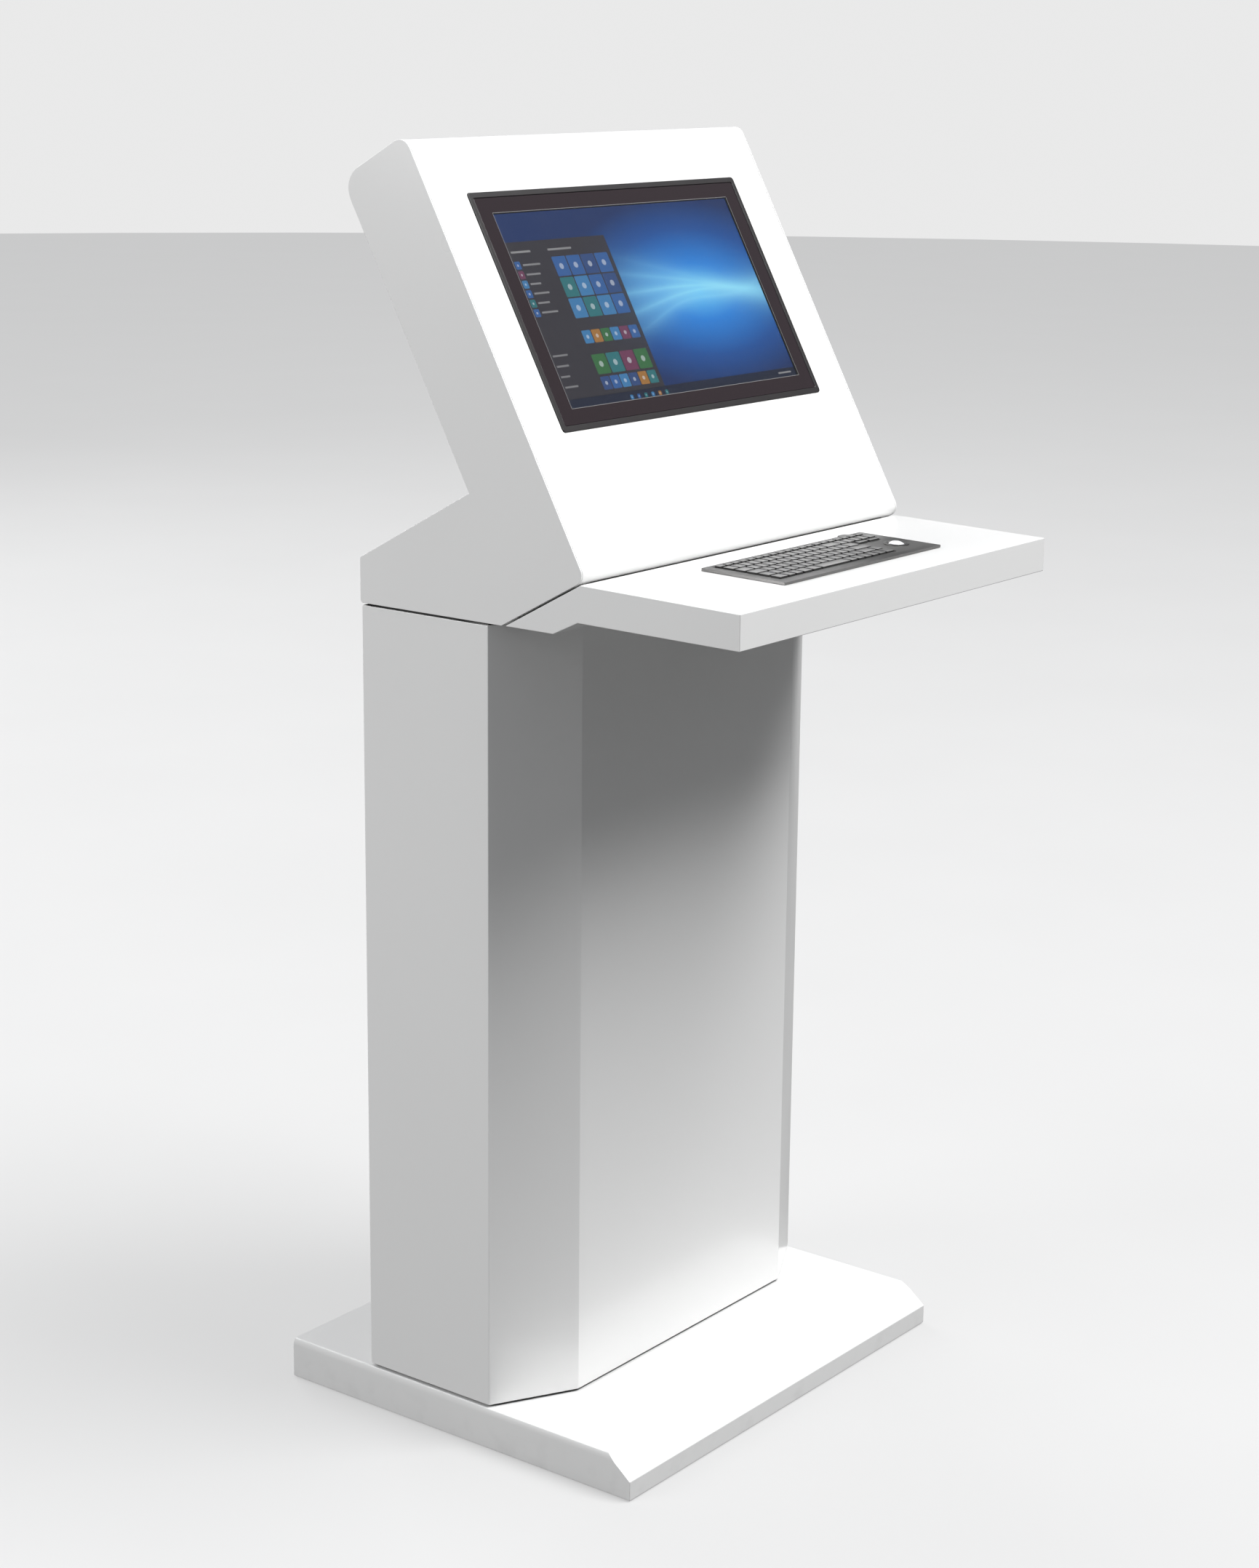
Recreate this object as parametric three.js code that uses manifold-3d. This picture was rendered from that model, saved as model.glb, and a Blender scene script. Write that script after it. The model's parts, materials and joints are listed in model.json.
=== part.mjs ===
// Free-standing touchscreen kiosk: a floor stand, a six-sided sheet-metal column, a leaning
// display head and a keyboard desk. Millimetres, +Z up, -Y is the front, +X is to the right of
// somebody who stands in front and faces it. The pieces are placed about the centre of the floor
// stand, and the whole is then moved along Y: the origin is on the floor, under the centre of the
// kiosk's overall plan.
import * as THREE from 'three';
import { mergeVertices } from 'three/addons/utils/BufferGeometryUtils.js';
import Module from 'manifold-3d';

const wasm = await Module();
wasm.setup();

// ---------------------------------------------------------------- driving dimensions
const SHEET = 2;                  // thickness of all folded steel
const GAP = 0.3;                  // clearance between pieces that touch

const BASE = {
  width: 622, topWidth: 616, depth: 523, height: 51, shoulder: 42.7, bottom: 1.5,
  slopeBack: 33, slopeFoot: 25,   // front slope: how far back it starts, how high it ends
};
const COLUMN = {
  width: 614, frontWidth: 413, front: -104, shoulder: -50, back: 135.5, bottom: 54, top: 983.5,
};
const REAR_OPENING = 285;         // half width of the opening between the column's rear flanges
const REAR_LIP = 116.2;           // where the lips of those flanges end
const CABLE_HOLE = { x: 60, front: -20, back: 60 };    // between base and column
const NECK_HOLE = { x: 110, front: -20, back: 70 };    // between column and head
const FOOT_INSET = 5;             // how far the dark joints stand back from the faces

const BODY_WIDTH = 618;           // head and desk
const HEAD = {
  tilt: 28.8, length: 521, depth: 104, neckHeight: 145.3,
  noseY: -186.5, noseZ: 1050, neckBack: 136, neckBottom: 986.5,
  noseRadius: 12, topFrontRadius: 16, topRearRadius: 25, smallRadius: 4,
};
const SCREEN = {
  centre: 306.5, bezelWidth: 494, bezelHeight: 284, bezelRim: 6.5, bezelProud: 1.2,
  glassProud: 0.6, glassBack: 3.4, corner: 4,
  panelHalfWidth: 228, panelHalfHeight: 128, panelBack: 14,
};
const CHASSIS = {
  halfWidth: 236, halfHeight: 132, front: 14.3, back: 46,
  raisedHalfWidth: 150, raisedDown: 90, raisedUp: 60, raisedDepth: 16,
};
const RAIL = { foot: 280, step: 250, hand: 205, bottom: 150, top: 460 };  // display brackets
const REAR_COVER = { top: 470, screwX: 285, screwZ: [175, 440] };

const DESK = {
  front: -390, topFront: 1039.5, topBack: 1044.5, bottomFront: 1000, bottomBack: 1002.8,
  bracketFront: -177.1, bracketToe: -143.5, bracketBottom: 986.6, headGap: 2.4,
};

const KEYBOARD = { x: 6, width: 315, back: -43, depth: 112, proud: 0.3, thickness: 3 };
const KEY = {
  pitchX: 14.4, pitchY: 15.9, gap: 1.7, top: 4.9, taper: 0.9, web: -4, webTop: -2,
  liftedBottom: 0, units: 16, wideUnits: 20, marginX: 14,
};
const BALL = { x: 131, y: -115, z: -6.9, radius: 14, plateHole: 12.6, ringHole: 10.2, ringRadius: 15 };
const MOUSE_BUTTONS = { x: 120, width: 21, split: 3, depth: 7.4 };

const DOOR = { bottom: 152.3, top: 980.5, depth: 15 };
const VENT = { width: 220, pitch: 12, count: 6, height: 5, low: 200, high: 880 };
const HINGE = {
  x: 284.7, y: 139.3, radius: 3.3, pin: 1.5, bottom: 166, top: 966, knuckles: 7,
  leaf: 1.5, doorEdge: 266, frameEdge: 303,
};
const LOCK = { x: -262, z: 566, body: 9.2, flange: 12, plug: 5.6, stem: 3, cam: [112.4, 115.2] };
const FAN = { x: 180, z: 103, size: 80, depth: 25 };
const INLET = { x: -210, z: 103 };
const SHELF_Z = 430;
const COMPUTER = { left: -60, right: 180, front: -70, back: 80, height: 62 };
const STRIP = { left: -290, right: -90, front: -40, back: 15, height: 42, sockets: 4, pitch: 48 };
const CUT = 100;                  // reach of cutting tools that pass right through a piece

const radians = THREE.MathUtils.degToRad;

// ---------------------------------------------------------------- materials
const paint = (color, roughness = 0.45, metalness = 0) =>
  new THREE.MeshStandardMaterial({ color, roughness, metalness });
const MATERIAL = {
  white: paint(0xf0f0ee, 0.4),
  black: paint(0x18181a, 0.5),
  steel: paint(0xb8bab9, 0.35, 0.9),
  zinc: paint(0x9fa4a6, 0.45, 0.8),
  glass: paint(0x241d20, 0.08),
  rubber: paint(0x1c1c1c, 0.85),
  plastic: paint(0x2a2b2d, 0.55),
  ball: paint(0xe9eaec, 0.15, 0.2),
  board: paint(0x1f5a3a, 0.6),
};

// ---------------------------------------------------------------- outlines
const point = (x, y) => new THREE.Vector2(x, y);

// Moves a closed outline (counter-clockwise) inwards by a distance, keeping its corners sharp.
function inset(points, distance) {
  const count = points.length;
  return points.map((corner, i) => {
    const before = corner.clone().sub(points[(i + count - 1) % count]).normalize();
    const after = points[(i + 1) % count].clone().sub(corner).normalize();
    return mitre(corner, before, after, distance);
  });
}

// The corner of two edges that have both moved to the left of their directions.
function mitre(corner, before, after, distance) {
  const left = (direction) => point(-direction.y, direction.x);
  const bisector = left(before).add(left(after)).normalize();
  return corner.clone().addScaledVector(bisector, distance / bisector.dot(left(after)));
}

// Replaces the corners of an outline by arcs. A radius of 0 keeps the corner.
function rounded(points, radii, closed = true, steps = 6) {
  const count = points.length;
  return points.flatMap((corner, i) => {
    const isEnd = !closed && (i === 0 || i === count - 1);
    if (!radii[i] || isEnd) return [corner.clone()];
    const before = points[(i + count - 1) % count].clone().sub(corner).normalize();
    const after = points[(i + 1) % count].clone().sub(corner).normalize();
    const half = Math.acos(before.dot(after)) / 2;
    const start = corner.clone().addScaledVector(before, radii[i] / Math.tan(half));
    const end = corner.clone().addScaledVector(after, radii[i] / Math.tan(half));
    const toCentre = before.clone().add(after).normalize();
    const centre = corner.clone().addScaledVector(toCentre, radii[i] / Math.sin(half));
    const first = start.clone().sub(centre);
    const turn = first.cross(end.clone().sub(centre)) > 0 ? 1 : -1;
    const sweep = turn * (Math.PI - 2 * half);
    return Array.from({ length: steps + 1 }, (_, k) =>
      first.clone().rotateAround(point(0, 0), (sweep * k) / steps).add(centre));
  });
}

// The section of a folded sheet: its outer face is the path, its thickness is to the left.
function sheetSection(path, thickness = SHEET) {
  const last = path.length - 1;
  const inner = path.map((corner, i) => {
    const before = corner.clone().sub(path[Math.max(i - 1, 0)]).normalize();
    const after = path[Math.min(i + 1, last)].clone().sub(corner).normalize();
    return mitre(corner, i ? before : after, i < last ? after : before, thickness);
  });
  return [...path.map((corner) => corner.clone()), ...inner.reverse()];
}

// ---------------------------------------------------------------- solids
function solid(geometry) {
  const bare = new THREE.BufferGeometry();
  bare.setAttribute('position', geometry.getAttribute('position').clone());
  if (geometry.index) bare.setIndex(geometry.index.clone());
  const merged = mergeVertices(bare, 1e-4);
  return new wasm.Manifold(new wasm.Mesh({
    numProp: 3,
    vertProperties: new Float32Array(merged.attributes.position.array),
    triVerts: new Uint32Array(merged.index.array),
  }));
}

function geometryOf(body) {
  const { numProp, vertProperties, triVerts } = body.getMesh();
  const positions = new Float32Array((vertProperties.length / numProp) * 3);
  for (let i = 0; i < positions.length / 3; i += 1) {
    positions.set(vertProperties.subarray(i * numProp, i * numProp + 3), i * 3);
  }
  const geometry = new THREE.BufferGeometry();
  geometry.setAttribute('position', new THREE.BufferAttribute(positions, 3));
  geometry.setIndex(new THREE.BufferAttribute(new Uint32Array(triVerts), 1));
  return geometry;
}

const join = (...bodies) => bodies.flat().reduce((whole, body) => whole.add(body));
const cut = (body, ...tools) => tools.flat().reduce((rest, tool) => rest.subtract(tool), body);

function extruded(points, from, to) {
  const geometry = new THREE.ExtrudeGeometry(new THREE.Shape(points), {
    depth: to - from, bevelEnabled: false,
  });
  return geometry.translate(0, 0, from);
}

// Prisms: along X the outline is (y, z), along Y it is (x, z), along Z it is (x, y).
const alongX = (points, from, to) => solid(extruded(points, from, to).applyMatrix4(
  new THREE.Matrix4().makeBasis(
    new THREE.Vector3(0, 1, 0), new THREE.Vector3(0, 0, 1), new THREE.Vector3(1, 0, 0))));
const alongY = (points, from, to) => solid(extruded(points, -to, -from).rotateX(Math.PI / 2));
const alongZ = (points, from, to) => solid(extruded(points, from, to));

function box([x0, x1], [y0, y1], [z0, z1]) {
  const geometry = new THREE.BoxGeometry(x1 - x0, y1 - y0, z1 - z0);
  return solid(geometry.translate((x0 + x1) / 2, (y0 + y1) / 2, (z0 + z1) / 2));
}

const around = (middle, half) => [middle - half, middle + half];

function rectangle(x0, x1, y0, y1, radius = 0) {
  const corners = [point(x0, y0), point(x1, y0), point(x1, y1), point(x0, y1)];
  return radius ? rounded(corners, [radius, radius, radius, radius], true, 4) : corners;
}

// A round bar along an axis. at holds the two other coordinates, in the order x, y, z.
function bar(axis, radius, from, to, at, sides = 24) {
  const geometry = new THREE.CylinderGeometry(radius, radius, to - from, sides);
  const middle = (from + to) / 2;
  if (axis === 'x') geometry.rotateZ(Math.PI / 2).translate(middle, at[0], at[1]);
  if (axis === 'y') geometry.translate(at[0], middle, at[1]);
  if (axis === 'z') geometry.rotateX(Math.PI / 2).translate(at[0], at[1], middle);
  return solid(geometry);
}

function ballSolid(radius, [x, y, z], sides = 24) {
  return solid(new THREE.SphereGeometry(radius, sides, sides / 2).translate(x, y, z));
}

// A cable of round section through the points of its route.
function cableGeometry(route, radius, steps) {
  const curve = new THREE.CatmullRomCurve3(route.map((place) => new THREE.Vector3(...place)));
  const section = new THREE.Shape();
  section.absarc(0, 0, radius, 0, 2 * Math.PI);
  const ring = new THREE.Shape(section.getSpacedPoints(8).slice(0, 8));
  return new THREE.ExtrudeGeometry(ring, { steps, extrudePath: curve, bevelEnabled: false });
}

// ---------------------------------------------------------------- scene graph
const kiosk = new THREE.Group();
kiosk.position.y = -(DESK.front + BASE.depth / 2) / 2;

// The head's own frame: x across, y into the head, z up along the leaning front.
const head = new THREE.Group();
head.position.set(0, HEAD.noseY, HEAD.noseZ);
head.rotation.x = -radians(HEAD.tilt);
kiosk.add(head);

// The desk's own frame: origin on the rear top edge, z out of the desk's top.
const deskTilt = Math.atan2(DESK.topBack - DESK.topFront, headUndersideY(DESK.topBack) - DESK.front);
const desk = new THREE.Group();
desk.position.set(0, headUndersideY(DESK.topBack), DESK.topBack);
desk.rotation.x = deskTilt;
kiosk.add(desk);

function add(parent, name, shape, material) {
  const geometry = shape.isBufferGeometry ? shape : geometryOf(shape);
  const mesh = new THREE.Mesh(geometry, material);
  mesh.name = name;
  parent.add(mesh);
  return mesh;
}

// From the head's (depth, height) to the kiosk's (y, z).
function fromHead(depth, height) {
  const tilt = radians(HEAD.tilt);
  return point(
    HEAD.noseY + depth * Math.cos(tilt) + height * Math.sin(tilt),
    HEAD.noseZ - depth * Math.sin(tilt) + height * Math.cos(tilt));
}

// Where the plane one desk gap under the head's underside is, at a height.
function headUndersideY(z) {
  const tilt = radians(HEAD.tilt);
  const start = fromHead(0, -DESK.headGap);
  return start.x + (start.y - z) / Math.tan(tilt);
}

// ---------------------------------------------------------------- floor stand
function buildBase() {
  const halfDepth = BASE.depth / 2;
  const side = (bottom) => [
    point(-halfDepth, bottom), point(halfDepth, bottom), point(halfDepth, BASE.height),
    point(-halfDepth + BASE.slopeBack, BASE.height), point(-halfDepth, BASE.slopeFoot),
  ];
  const across = (bottom) => [
    point(-BASE.width / 2, bottom), point(BASE.width / 2, bottom),
    point(BASE.width / 2, BASE.shoulder), point(BASE.topWidth / 2, BASE.height),
    point(-BASE.topWidth / 2, BASE.height), point(-BASE.width / 2, BASE.shoulder),
  ];
  const block = (bottom, wall) =>
    alongX(inset(side(bottom), wall), -BASE.width, BASE.width)
      .intersect(alongY(inset(across(bottom), wall), -BASE.depth, BASE.depth));
  add(kiosk, 'base_cover', cut(block(BASE.bottom, 0), block(-CUT, SHEET), cableWay(CABLE_HOLE, 0)),
    MATERIAL.white);

  const plate = { x: 290, front: -235, back: 245, bottom: 6, top: 18, post: 20 };
  const under = BASE.height - SHEET - GAP;
  const posts = [[-250, -180], [250, -180], [-250, 180], [250, 180]].map(([x, y]) =>
    box(around(x, plate.post), around(y, plate.post), [plate.bottom, under]));
  add(kiosk, 'base_ballast_plate', join(
    box([-plate.x, plate.x], [plate.front, plate.back], [plate.bottom, plate.top]), posts),
  MATERIAL.black);

  const pad = { x: 255, front: -205, rear: 215, radius: 22 };
  for (const [name, side] of [['left', -1], ['right', 1]]) {
    for (const end of ['front', 'rear']) {
      add(kiosk, `floor_pad_${end}_${name}`,
        bar('z', pad.radius, 0, plate.bottom - GAP, [side * pad.x, pad[end]]), MATERIAL.rubber);
    }
  }
}

// ---------------------------------------------------------------- column
// The column's plan from its left rear corner, counter-clockwise.
function columnPlan(back = COLUMN.back) {
  const side = COLUMN.width / 2;
  const front = COLUMN.frontWidth / 2;
  return [
    point(-side, back), point(-side, COLUMN.shoulder), point(-front, COLUMN.front),
    point(front, COLUMN.front), point(side, COLUMN.shoulder), point(side, back),
  ];
}

// The room that a square cable hole takes, upwards from a height.
function cableWay({ x, front, back }, bottom) {
  return box([-x, x], [front, back], [bottom, bottom + CUT]);
}

function buildColumn() {
  const lip = (side) => [point(side * REAR_OPENING, COLUMN.back), point(side * REAR_OPENING, REAR_LIP)];
  const path = [...lip(-1).reverse(), ...columnPlan(), ...lip(1)];
  add(kiosk, 'column_shell', alongZ(sheetSection(path), COLUMN.bottom, COLUMN.top), MATERIAL.white);

  const foot = alongZ(inset(columnPlan(), FOOT_INSET), BASE.height + GAP, COLUMN.bottom - GAP);
  add(kiosk, 'column_foot_flange', cut(foot, cableWay(CABLE_HOLE, 0)), MATERIAL.black);

  // Neck plate: seen as a dark line under the head, with a frame inside the column's top.
  const frame = { back: 114, wall: 6, height: 26, cover: 4 };
  const hung = alongZ(inset(columnPlan(frame.back), SHEET + GAP),
    COLUMN.top - frame.height, COLUMN.top - 0.5);
  const hollow = alongZ(inset(columnPlan(frame.back), SHEET + frame.wall + GAP),
    0, COLUMN.top - frame.cover);
  const plate = alongZ(inset(columnPlan(frame.back + FOOT_INSET), FOOT_INSET),
    COLUMN.top - frame.cover + 1, HEAD.neckBottom - GAP);
  add(kiosk, 'column_neck_plate', cut(join(cut(hung, hollow), plate),
    cableWay(NECK_HOLE, COLUMN.top - CUT / 2)), MATERIAL.black);
}

// A shallow pan that is open to the front, with its bottom flush with the column's rear face.
function pan(halfWidth, bottom, top) {
  const outer = box([-halfWidth, halfWidth], [COLUMN.back - DOOR.depth, COLUMN.back], [bottom, top]);
  const inner = box([-halfWidth + SHEET, halfWidth - SHEET], [0, COLUMN.back - SHEET],
    [bottom + SHEET, top - SHEET]);
  return cut(outer, inner);
}

// Rows of narrow slots through a sheet that faces along Y.
function slots({ x, width, z, pitch, count, height }, [from, to]) {
  return Array.from({ length: count }, (_, i) =>
    box(around(x, width / 2), [from, to], [z + i * pitch, z + i * pitch + height]));
}

function buildRear() {
  const skin = around(COLUMN.back, 10);

  // Lower panel: power inlet with its switch, and the fan's round grille.
  const grille = { radius: 35, pitch: 10, half: 2.5 };
  const grilleSlots = [-3, -2, -1, 0, 1, 2, 3].map((row) => {
    const offset = row * grille.pitch;
    const half = Math.sqrt(grille.radius ** 2 - offset ** 2);
    return box(around(FAN.x, half), skin, around(FAN.z + offset, grille.half));
  });
  const inletHole = box(around(INLET.x, 28), skin, around(INLET.z, 13));
  add(kiosk, 'column_rear_panel', cut(
    pan(REAR_OPENING - 0.4, COLUMN.bottom + GAP, DOOR.bottom - 2 * GAP), grilleSlots, inletHole),
  MATERIAL.white);

  // Service door.
  const vents = [VENT.low, VENT.high].flatMap((z) => slots({ ...VENT, x: 0, z }, skin));
  const lockHole = bar('y', LOCK.body + 0.4, ...skin, [LOCK.x, LOCK.z]);
  add(kiosk, 'column_rear_door', cut(
    pan(REAR_OPENING - 2 * GAP, DOOR.bottom, DOOR.top), vents, lockHole), MATERIAL.white);

  buildHinge();
  buildLock();
}

// Piano hinge outside the rear face: even knuckles belong to the frame, odd ones to the door.
function buildHinge() {
  const leafY = [COLUMN.back + GAP, COLUMN.back + GAP + HINGE.leaf];
  const pitch = (HINGE.top - HINGE.bottom) / HINGE.knuckles;
  const span = (i) => [HINGE.bottom + i * pitch + GAP, HINGE.bottom + (i + 1) * pitch - GAP];
  const knuckle = (i) => bar('z', HINGE.radius, ...span(i), [HINGE.x, HINGE.y], 16);
  const clear = HINGE.radius + 0.5;
  const indices = Array.from({ length: HINGE.knuckles }, (_, i) => i);
  const even = indices.filter((i) => i % 2 === 0);
  const odd = indices.filter((i) => i % 2 === 1);
  const height = [HINGE.bottom + GAP, HINGE.top - GAP];

  const frameTabs = even.map((i) => box([HINGE.x + 0.5, HINGE.x + clear + 1], leafY, span(i)));
  add(kiosk, 'column_hinge_frame_leaf', join(
    box([HINGE.x + clear, HINGE.frameEdge], leafY, height), frameTabs, even.map(knuckle),
    bar('z', HINGE.pin, ...height, [HINGE.x, HINGE.y], 12)), MATERIAL.zinc);

  const doorTabs = odd.map((i) => box([HINGE.x - clear - 1, HINGE.x - 0.5], leafY, span(i)));
  const bore = bar('z', HINGE.pin + 0.3, HINGE.bottom, HINGE.top, [HINGE.x, HINGE.y], 12);
  add(kiosk, 'column_hinge_door_leaf', cut(join(
    box([HINGE.doorEdge, HINGE.x - clear], leafY, height), doorTabs, odd.map(knuckle)), bore),
  MATERIAL.zinc);
}

// Cam lock. Unlocked, the cam hangs down; a quarter turn puts it behind the left rear lip.
function buildLock() {
  const at = [LOCK.x, LOCK.z];
  const face = COLUMN.back + GAP;
  const [camFront, camBack] = LOCK.cam;
  const inside = camBack + 2.8;
  const through = around(face, CUT);
  const body = join(bar('y', LOCK.flange, face, face + 2.2, at),
    bar('y', LOCK.body, inside, face + 1, at));
  add(kiosk, 'column_lock_body', cut(body, bar('y', LOCK.plug + 0.4, ...through, at)), MATERIAL.steel);

  const keySlot = box(around(LOCK.x, 0.6), [face - 4, face + CUT], around(LOCK.z, 3.5));
  const plug = join(bar('y', LOCK.plug, camBack + 0.6, face + 1.6, at),
    bar('y', LOCK.stem, camFront - 2.4, inside, at, 12));
  add(kiosk, 'column_lock_plug', cut(plug, keySlot), MATERIAL.steel);

  const arm = { eye: 8, half: 7, length: 36 };
  const cam = join(bar('y', arm.eye, ...LOCK.cam, at),
    box(around(LOCK.x, arm.half), LOCK.cam, [LOCK.z - arm.length, LOCK.z]));
  add(kiosk, 'column_lock_cam', cut(cam, bar('y', LOCK.stem + GAP, ...through, at, 12)),
    MATERIAL.zinc);
}

// ---------------------------------------------------------------- equipment in the column
function buildEquipment() {
  const shelf = { back: 100, lip: 18 };
  const wall = SHEET + GAP;
  const sheet = alongZ(inset(columnPlan(shelf.back), wall), SHELF_Z, SHELF_Z + SHEET);
  const lip = box(around(0, 300), [shelf.back - wall - SHEET, shelf.back - wall],
    [SHELF_Z - shelf.lip, SHELF_Z + SHEET / 2]);
  const slot = box(around(0, 40), around(-80, 10), around(SHELF_Z, CUT));
  add(kiosk, 'equipment_shelf', cut(join(sheet, lip), slot), MATERIAL.zinc);

  const floor = SHELF_Z + SHEET + GAP;
  const top = floor + COMPUTER.height;
  const groove = { first: 17, pitch: 15, width: 7, depth: 14, count: 14, end: 12 };
  const grooves = Array.from({ length: groove.count }, (_, i) => {
    const x = COMPUTER.left + groove.first + i * groove.pitch;
    return box([x, x + groove.width], [COMPUTER.front - CUT, COMPUTER.back - groove.end],
      [top - groove.depth, top + CUT]);
  });
  const button = { radius: 6, sunk: 6, proud: 1.5, at: [COMPUTER.right - 25, floor + 30] };
  add(kiosk, 'computer', cut(
    alongZ(rectangle(COMPUTER.left, COMPUTER.right, COMPUTER.front, COMPUTER.back, 6), floor, top),
    grooves, bar('y', button.radius + 0.5, COMPUTER.back - button.sunk, COMPUTER.back + CUT, button.at)),
  MATERIAL.black);
  add(kiosk, 'computer_power_button', bar('y', button.radius,
    COMPUTER.back - button.sunk + 2.5, COMPUTER.back + button.proud, button.at), MATERIAL.steel);

  const socket = { radius: 19, depth: 14, first: 28 };
  const stripTop = floor + STRIP.height;
  const stripMiddle = (STRIP.front + STRIP.back) / 2;
  const sockets = Array.from({ length: STRIP.sockets }, (_, i) =>
    bar('z', socket.radius, stripTop - socket.depth, stripTop + CUT,
      [STRIP.left + socket.first + i * STRIP.pitch, stripMiddle]));
  add(kiosk, 'power_strip', cut(
    alongZ(rectangle(STRIP.left, STRIP.right, STRIP.front, STRIP.back, 5), floor, stripTop),
    sockets), MATERIAL.plastic);

  buildInlet();
  buildFan();
}

// Power inlet and rocker switch in one snap-in housing.
function buildInlet() {
  const face = COLUMN.back + GAP;
  const { x, z } = INLET;
  const back = face - 29.8;
  const flange = alongY(rectangle(x - 33, x + 33, z - 16, z + 16, 3), face, face + 2);
  const housing = box(around(x, 27.6), [back, face + 1], around(z, 12.6));
  const recess = alongY(rectangle(x - 25, x - 1, z - 8.5, z + 8.5, 2.5), back + 11, face + CUT);
  const well = box([x + 7, x + 21], [back + 6, face + CUT], around(z, 11));
  const blades = [-20.5, -13, -5.5].map((offset, i) => {
    const lift = i === 1 ? 2.5 : -2;
    return box(around(x + offset, 1), [back + 9, face - 4.8], around(z + lift, 2.5));
  });
  add(kiosk, 'mains_inlet', join(cut(join(flange, housing), recess, well), blades), MATERIAL.plastic);

  // Rocker: pivots about the X axis in the middle of the well, and rests tipped to OFF.
  const tip = 8;
  const profile = [
    point(-14, -2), point(-6, -8), point(3.4, -9.4), point(1.2, 0), point(3.4, 9.4),
    point(-6, 8), point(-14, 2),
  ];
  const rocker = add(kiosk, 'mains_switch', alongX(profile, -6.4, 6.4), MATERIAL.plastic);
  rocker.position.set(x + 14, face - 2, z);
  rocker.rotation.x = -radians(tip);
}

function buildFan() {
  const half = FAN.size / 2;
  const blade = { length: 24, chord: 20, thickness: 1.6, pitch: 40, count: 7 };
  const back = COLUMN.back - SHEET - GAP;
  const front = back - FAN.depth;
  const at = [FAN.x, FAN.z];
  const block = alongY(rectangle(FAN.x - half, FAN.x + half, FAN.z - half, FAN.z + half, 4), front, back);
  const struts = join(
    bar('y', 17, front, front + 3, at),
    box(around(FAN.x, half - 1), [front, front + 3], around(FAN.z, 3)),
    box(around(FAN.x, 3), [front, front + 3], around(FAN.z, half - 1)));
  const spindle = bar('y', 2.2, front + 1, back - 6, at, 12);
  add(kiosk, 'fan_frame', join(cut(block, bar('y', half - 2, 0, 200, at, 32)), struts, spindle),
    MATERIAL.plastic);

  const bladeAt = (i) => {
    const geometry = new THREE.BoxGeometry(blade.length, blade.thickness, blade.chord);
    geometry.rotateX(radians(blade.pitch)).translate(blade.length, (front + back) / 2 + 2, 0);
    return solid(geometry.rotateY((i * 2 * Math.PI) / blade.count).translate(FAN.x, 0, FAN.z));
  };
  const hub = bar('y', 15, front + 4, back - 3, at);
  const blades = Array.from({ length: blade.count }, (_, i) => bladeAt(i));
  add(kiosk, 'fan_rotor', cut(join(hub, blades), bar('y', 2.6, 0, back - 5, at, 12)), MATERIAL.plastic);
}

// ---------------------------------------------------------------- display head
// The head's side seen from the left, counter-clockwise, from the neck's front lower corner.
function headOutline(distance = 0) {
  const corner = fromHead(HEAD.depth, HEAD.neckHeight);
  const slopeRun = (HEAD.neckBack - corner.x) * Math.tan(radians(HEAD.tilt));
  const underside = headUndersideCorner();
  const points = [
    underside, point(HEAD.neckBack, HEAD.neckBottom), point(HEAD.neckBack, corner.y - slopeRun),
    corner, fromHead(HEAD.depth, HEAD.length), fromHead(0, HEAD.length), fromHead(0, 0),
  ];
  const small = HEAD.smallRadius;
  const radii = [0, small, small, 0, HEAD.topRearRadius, HEAD.topFrontRadius, HEAD.noseRadius];
  const trimmed = radii.map((radius) => (radius ? Math.max(radius - distance, 1) : 0));
  return rounded(inset(points, distance), trimmed);
}

// Where the head's sloping underside meets the flat bottom of the neck.
function headUndersideCorner() {
  const run = (HEAD.noseZ - HEAD.neckBottom) / Math.tan(radians(HEAD.tilt));
  return point(HEAD.noseY + run, HEAD.neckBottom);
}

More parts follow.
